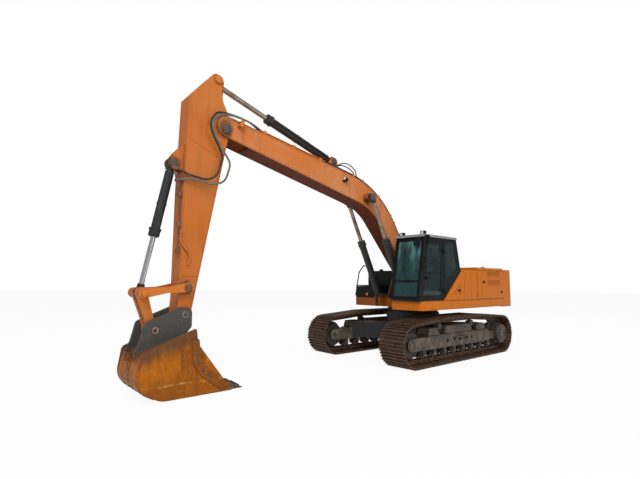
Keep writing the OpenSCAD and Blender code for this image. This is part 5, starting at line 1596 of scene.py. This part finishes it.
# %% Filler caps, box tread, lamp and step
def filler(x, y, z, radius):
    neck = drum("neck", (x, y, z - 0.003), (x, y, z + 0.018), radius * 1.2, 32, 0.004)
    cap = drum("cap", (x, y, z + 0.015), (x, y, z + 0.055), radius, 24, 0.008)
    inset(cap, lambda f: f.normal.z > 0.9, radius * 0.3, -0.006)
    half = radius * 0.75
    grip = block("grip", (x - half, y - 0.010, z + 0.045), (x + half, y + 0.010, z + 0.064), 0.004)
    return joined("filler", [neck, cap, grip])


CAPS = ((-0.05, -1.20, 0.055), (-0.62, -1.05, 0.065), (-0.62, -0.65, 0.050))
caps = [filler(x, y, 2.29, radius) for x, y, radius in CAPS]
dress(joined("filler_caps", caps), "upper", charcoal)

box_studs = stud_rows(0.33, -1.40, 1.860, 6, 11, 0.076)
bpy.data.objects.remove(stud)
pull = latch(0, 0, 0)
moved(pull, Matrix.Translation((0.70, -1.02, 1.861)) @ Matrix.Rotation(math.radians(90), 4, "X"))
dress(joined("box_lid_tread", box_studs + [pull]), "tool_box_lid", charcoal)

socket = drum("lamp_socket", (0.786, -1.01, 1.60), (0.800, -1.01, 1.60), 0.050, 24, 0.004)
dress(joined("side_lamp_socket", [socket]), "upper", rubber)
glow = drum("side_lamp", (0.798, -1.01, 1.60), (0.822, -1.01, 1.60), 0.040, 24, 0.008)
inset(glow, lambda f: f.normal.x > 0.9, 0.010, 0.003)
dress(glow, "upper", amber.material)

rungs = []
for z in (1.62, 1.74):
    rung_line = [(0.788, -0.78, z), (0.818, -0.78, z), (0.822, -0.68, z), (0.818, -0.63, z),
                 (0.788, -0.63, z)]
    rungs.append(tube("rung", rung_line, 4, 0.010))
dress(joined("box_rungs", rungs), "upper", charcoal)
print("caps, tread, lamp and rungs ready")

# %% Tail
TAIL_R = 3.4
CORNER_R = 0.48
CORNER_Y = 1.01


def tail_line(z, out):
    """The tail's outline at a height: a straight start, a round corner and the big arc, then mirrored."""
    corner_x = math.sqrt((TAIL_R - CORNER_R)**2 - CORNER_Y**2)
    corner_a = math.pi - math.atan2(CORNER_Y, corner_x)
    half = [Vector((-2.44, SIDE_Y + out, z))]
    for k in range(9):
        a = math.pi / 2 + (corner_a - math.pi / 2) * k / 8
        reach = CORNER_R + out
        half.append(Vector((-corner_x + reach * math.cos(a), CORNER_Y + reach * math.sin(a), z)))
    for k in range(1, 9):
        a = corner_a + (math.pi - corner_a) * k / 8
        half.append(Vector(((TAIL_R + out) * math.cos(a), (TAIL_R + out) * math.sin(a), z)))
    return half + [Vector((p.x, -p.y, p.z)) for p in reversed(half[:-1])]


parting = [pipe("parting", tail_line(z, -0.001), 0.005, 2) for z in (1.40, 2.24)]
dress(joined("tail_lines", parting), "upper", panel_paint)
covers = []
for y in (-0.85, 0.85):
    x = -math.sqrt(TAIL_R**2 - y**2)
    cover = drum("cover", (x + 0.02, y, 1.62), (x - 0.014, y, 1.62), 0.075, 32, 0.005)
    covers.append(inset(cover, lambda f: f.normal.x < -0.9, 0.016, -0.004))
    handle_line = [(x + 0.01, y - 0.05, 1.62), (x - 0.03, y - 0.04, 1.62), (x - 0.03, y + 0.04, 1.62),
                   (x + 0.01, y + 0.05, 1.62)]
    covers.append(tube("handle", handle_line, 4, 0.006))
dress(joined("tail_covers", covers), "upper", charcoal)
lift_rings = [drum("pad", (-2.9, s * 0.6, 2.333), (-2.9, s * 0.6, 2.341), 0.14, 32, 0.003) for s in (-1, 1)]
dress(joined("lift_pads", lift_rings), "upper", panel_paint)
print("tail ready")

# %% [markdown]
# ## Boom foot
# On the real machine a valve block with its hoses fills the gap between the boom's foot plates. From the
# front it makes the middle of the machine look dark and busy. Here it is a row of valves, each with a nut
# and a steel elbow that goes down into the deck: nothing in it has to bend when the boom moves.

# %% Valve block and elbows
VALVES = 5
VALVE_STEP = 0.11
valve_parts = []
for i in range(VALVES):
    low = -0.23 + VALVE_STEP * i
    valve_parts.append(block("valve", (-0.02, low, 1.502), (0.20, low + 0.09, 1.62), 0.010))
for i in range(VALVES):
    y = -0.185 + VALVE_STEP * i
    elbow = [(0.20, y, 1.56), (0.27, y, 1.57), (0.31, y, 1.53), (0.32, y, 1.49)]
    valve_parts.append(tube("elbow", elbow, 4, 0.018, 3))
    valve_parts.append(drum("nut", (0.19, y, 1.56), (0.225, y, 1.561), 0.026, 6, 0.003))
dress(joined("valve_block", valve_parts), "upper", barrel_black)
print("valve block ready")

# %% [markdown]
# ## Undercarriage
# The drive motor sits in the sprocket's hub under a bolted cover, and the sprocket's teeth reach between
# the chain's bushes. The idler's axle ends in a cap on a yoke, rollers end in small caps, and a round lid
# hides the track's grease valve. A tooth is one tapered block, copied round the wheel. All of it is made on
# the left side and mirrored.

# %% Sprocket hubs and teeth
WHEEL_X, WHEEL_Z = TUMBLER[:2]
SPROCKET_TEETH = 21


def round_places(x, y, z, radius, count):
    turns = [2 * math.pi * k / count for k in range(count)]
    return [(x + radius * math.cos(a), y, z + radius * math.sin(a)) for a in turns]


def wheel_drum(name, x, near, far, radius, sides, round_by):
    """A drum on a wheel's axis, from one y to the other."""
    return drum(name, (x, near, WHEEL_Z), (x, far, WHEEL_Z), radius, sides, round_by)


cover = wheel_drum("hub_cover", -WHEEL_X, 1.606, 1.626, 0.165, 48, 0.006)
inset(cover, lambda f: f.normal.y > 0.9, 0.050, 0.010)
inset(cover, lambda f: f.normal.y > 0.9 and f.center.y > 1.634, 0.030, -0.006)
flange = wheel_drum("hub_flange", -WHEEL_X, 1.560, 1.590, 0.262, 48, 0.006)
hub_places = round_places(-WHEEL_X, 1.590, WHEEL_Z, 0.246, 18)
hub_bolts = hex_bolts("bolts", hub_places, OUTWARD, 0.012, 0.012)
lid_places = round_places(-WHEEL_X, 1.624, WHEEL_Z, 0.140, 10)
lid_bolts = hex_bolts("bolts", lid_places, OUTWARD, 0.011, 0.012)
hubs = joined("sprocket_hubs", [cover, flange, hub_bolts, lid_bolts])
dress(both_sides(hubs), "undercarriage", frame_iron)

tooth = block("tooth", (0.318, -0.036, -0.040), (0.352, 0.036, 0.040))
extrude(tooth, lambda f: f.normal.x > 0.9, (0.045, 0, 0), 0.55)
rounded(tooth, 0.006, 1)
teeth = []
for k in range(SPROCKET_TEETH):
    spin = Matrix.Rotation(2 * math.pi * k / SPROCKET_TEETH, 4, "Y")
    teeth.append(copied(tooth, Matrix.Translation((-WHEEL_X, TRACK_Y, WHEEL_Z)) @ spin))
bpy.data.objects.remove(tooth)
dress(both_sides(joined("sprocket_teeth", teeth)), "undercarriage", dark_iron)
print("sprocket teeth:", 2 * len(teeth))

# %% Idler caps and yokes
idler = wheel_drum("idler_cap", WHEEL_X, 1.506, 1.524, 0.105, 40, 0.005)
inset(idler, lambda f: f.normal.y > 0.9, 0.030, -0.005)
yoke = joined("yoke", [block("arm", (1.50, 1.486, 0.372), (2.00, 1.500, 0.668), 0.008),
                       drum("nose", (2.0, 1.4865, 0.520), (2.0, 1.4995, 0.520), 0.147, 40, 0.006)])
yoke_places = [(x, 1.500, z) for x in (1.60, 1.74) for z in (0.41, 0.63)]
yoke_bolts = hex_bolts("bolts", yoke_places, OUTWARD, 0.014, 0.012)
inner_yoke = copied(yoke, Matrix.Translation((0, -0.386, 0)))
cap_places = round_places(WHEEL_X, 1.522, WHEEL_Z, 0.088, 6)
cap_bolts = hex_bolts("bolts", cap_places, OUTWARD, 0.009, 0.010)
idlers = joined("idler_caps", [idler, yoke, inner_yoke, yoke_bolts, cap_bolts])
dress(both_sides(idlers), "undercarriage", frame_iron)
print("idler caps ready")

# %% Roller caps
ROLLERS = 8
roller_x = [-1.48 + 2.96 * i / (ROLLERS - 1) for i in range(ROLLERS)]
roller_parts = []
for x in roller_x:
    end = drum("roller_cap", (x, 1.446, 0.257), (x, 1.468, 0.257), 0.048, 24, 0.005)
    roller_parts.append(inset(end, lambda f: f.normal.y > 0.9, 0.014, -0.004))
foot_spots = [(x + s * 0.042, 1.446, 0.318) for x in roller_x for s in (-1, 1)]
roller_parts.append(hex_bolts("bolts", foot_spots, OUTWARD, 0.011, 0.010))
dress(both_sides(joined("roller_caps", roller_parts)), "undercarriage", frame_iron)
print("roller caps:", 2 * len(roller_x))

# %% Lids, welds, steps and roofs of the track frames
FRAME_Y = 1.486
ROOFS = ((-1.32, -0.87, 0.145), (-0.63, 0.63, 0.170), (0.87, 1.32, 0.145))
lid = drum("grease_lid", (0.98, FRAME_Y, 0.60), (0.98, 1.498, 0.60), 0.060, 32, 0.004)
inset(lid, lambda f: f.normal.y > 0.9, 0.012, -0.003)
lid_bolts = hex_bolts("bolts", round_places(0.98, 1.496, 0.60, 0.052, 3), OUTWARD, 0.008, 0.008)
welds = [bead("weld", [(-reach, z), (reach, z)], 1.490, 0.006) for reach, z in ((1.40, 0.385), (1.25, 0.655))]
step = block("step", (-0.34, FRAME_Y, 0.575), (0.34, 1.575, 0.590), 0.004)
brackets = [block("bracket", (x - 0.008, FRAME_Y, 0.50), (x + 0.008, 1.560, 0.580), 0.003)
            for x in (-0.28, 0.28)]
frame_bits = [lid, lid_bolts] + welds + [step] + brackets
for x0, x1, rise in ROOFS:
    roof = block("roof", (x0, 1.130, 0.680), (x1, 1.470, 0.705))
    extrude(roof, lambda f: f.normal.z > 0.9, (0, 0, rise), 0.86)
    frame_bits.append(rounded(roof, 0.006, 1))
dress(both_sides(joined("track_frame_fittings", frame_bits)), "undercarriage", frame_iron)
print("undercarriage fittings ready")
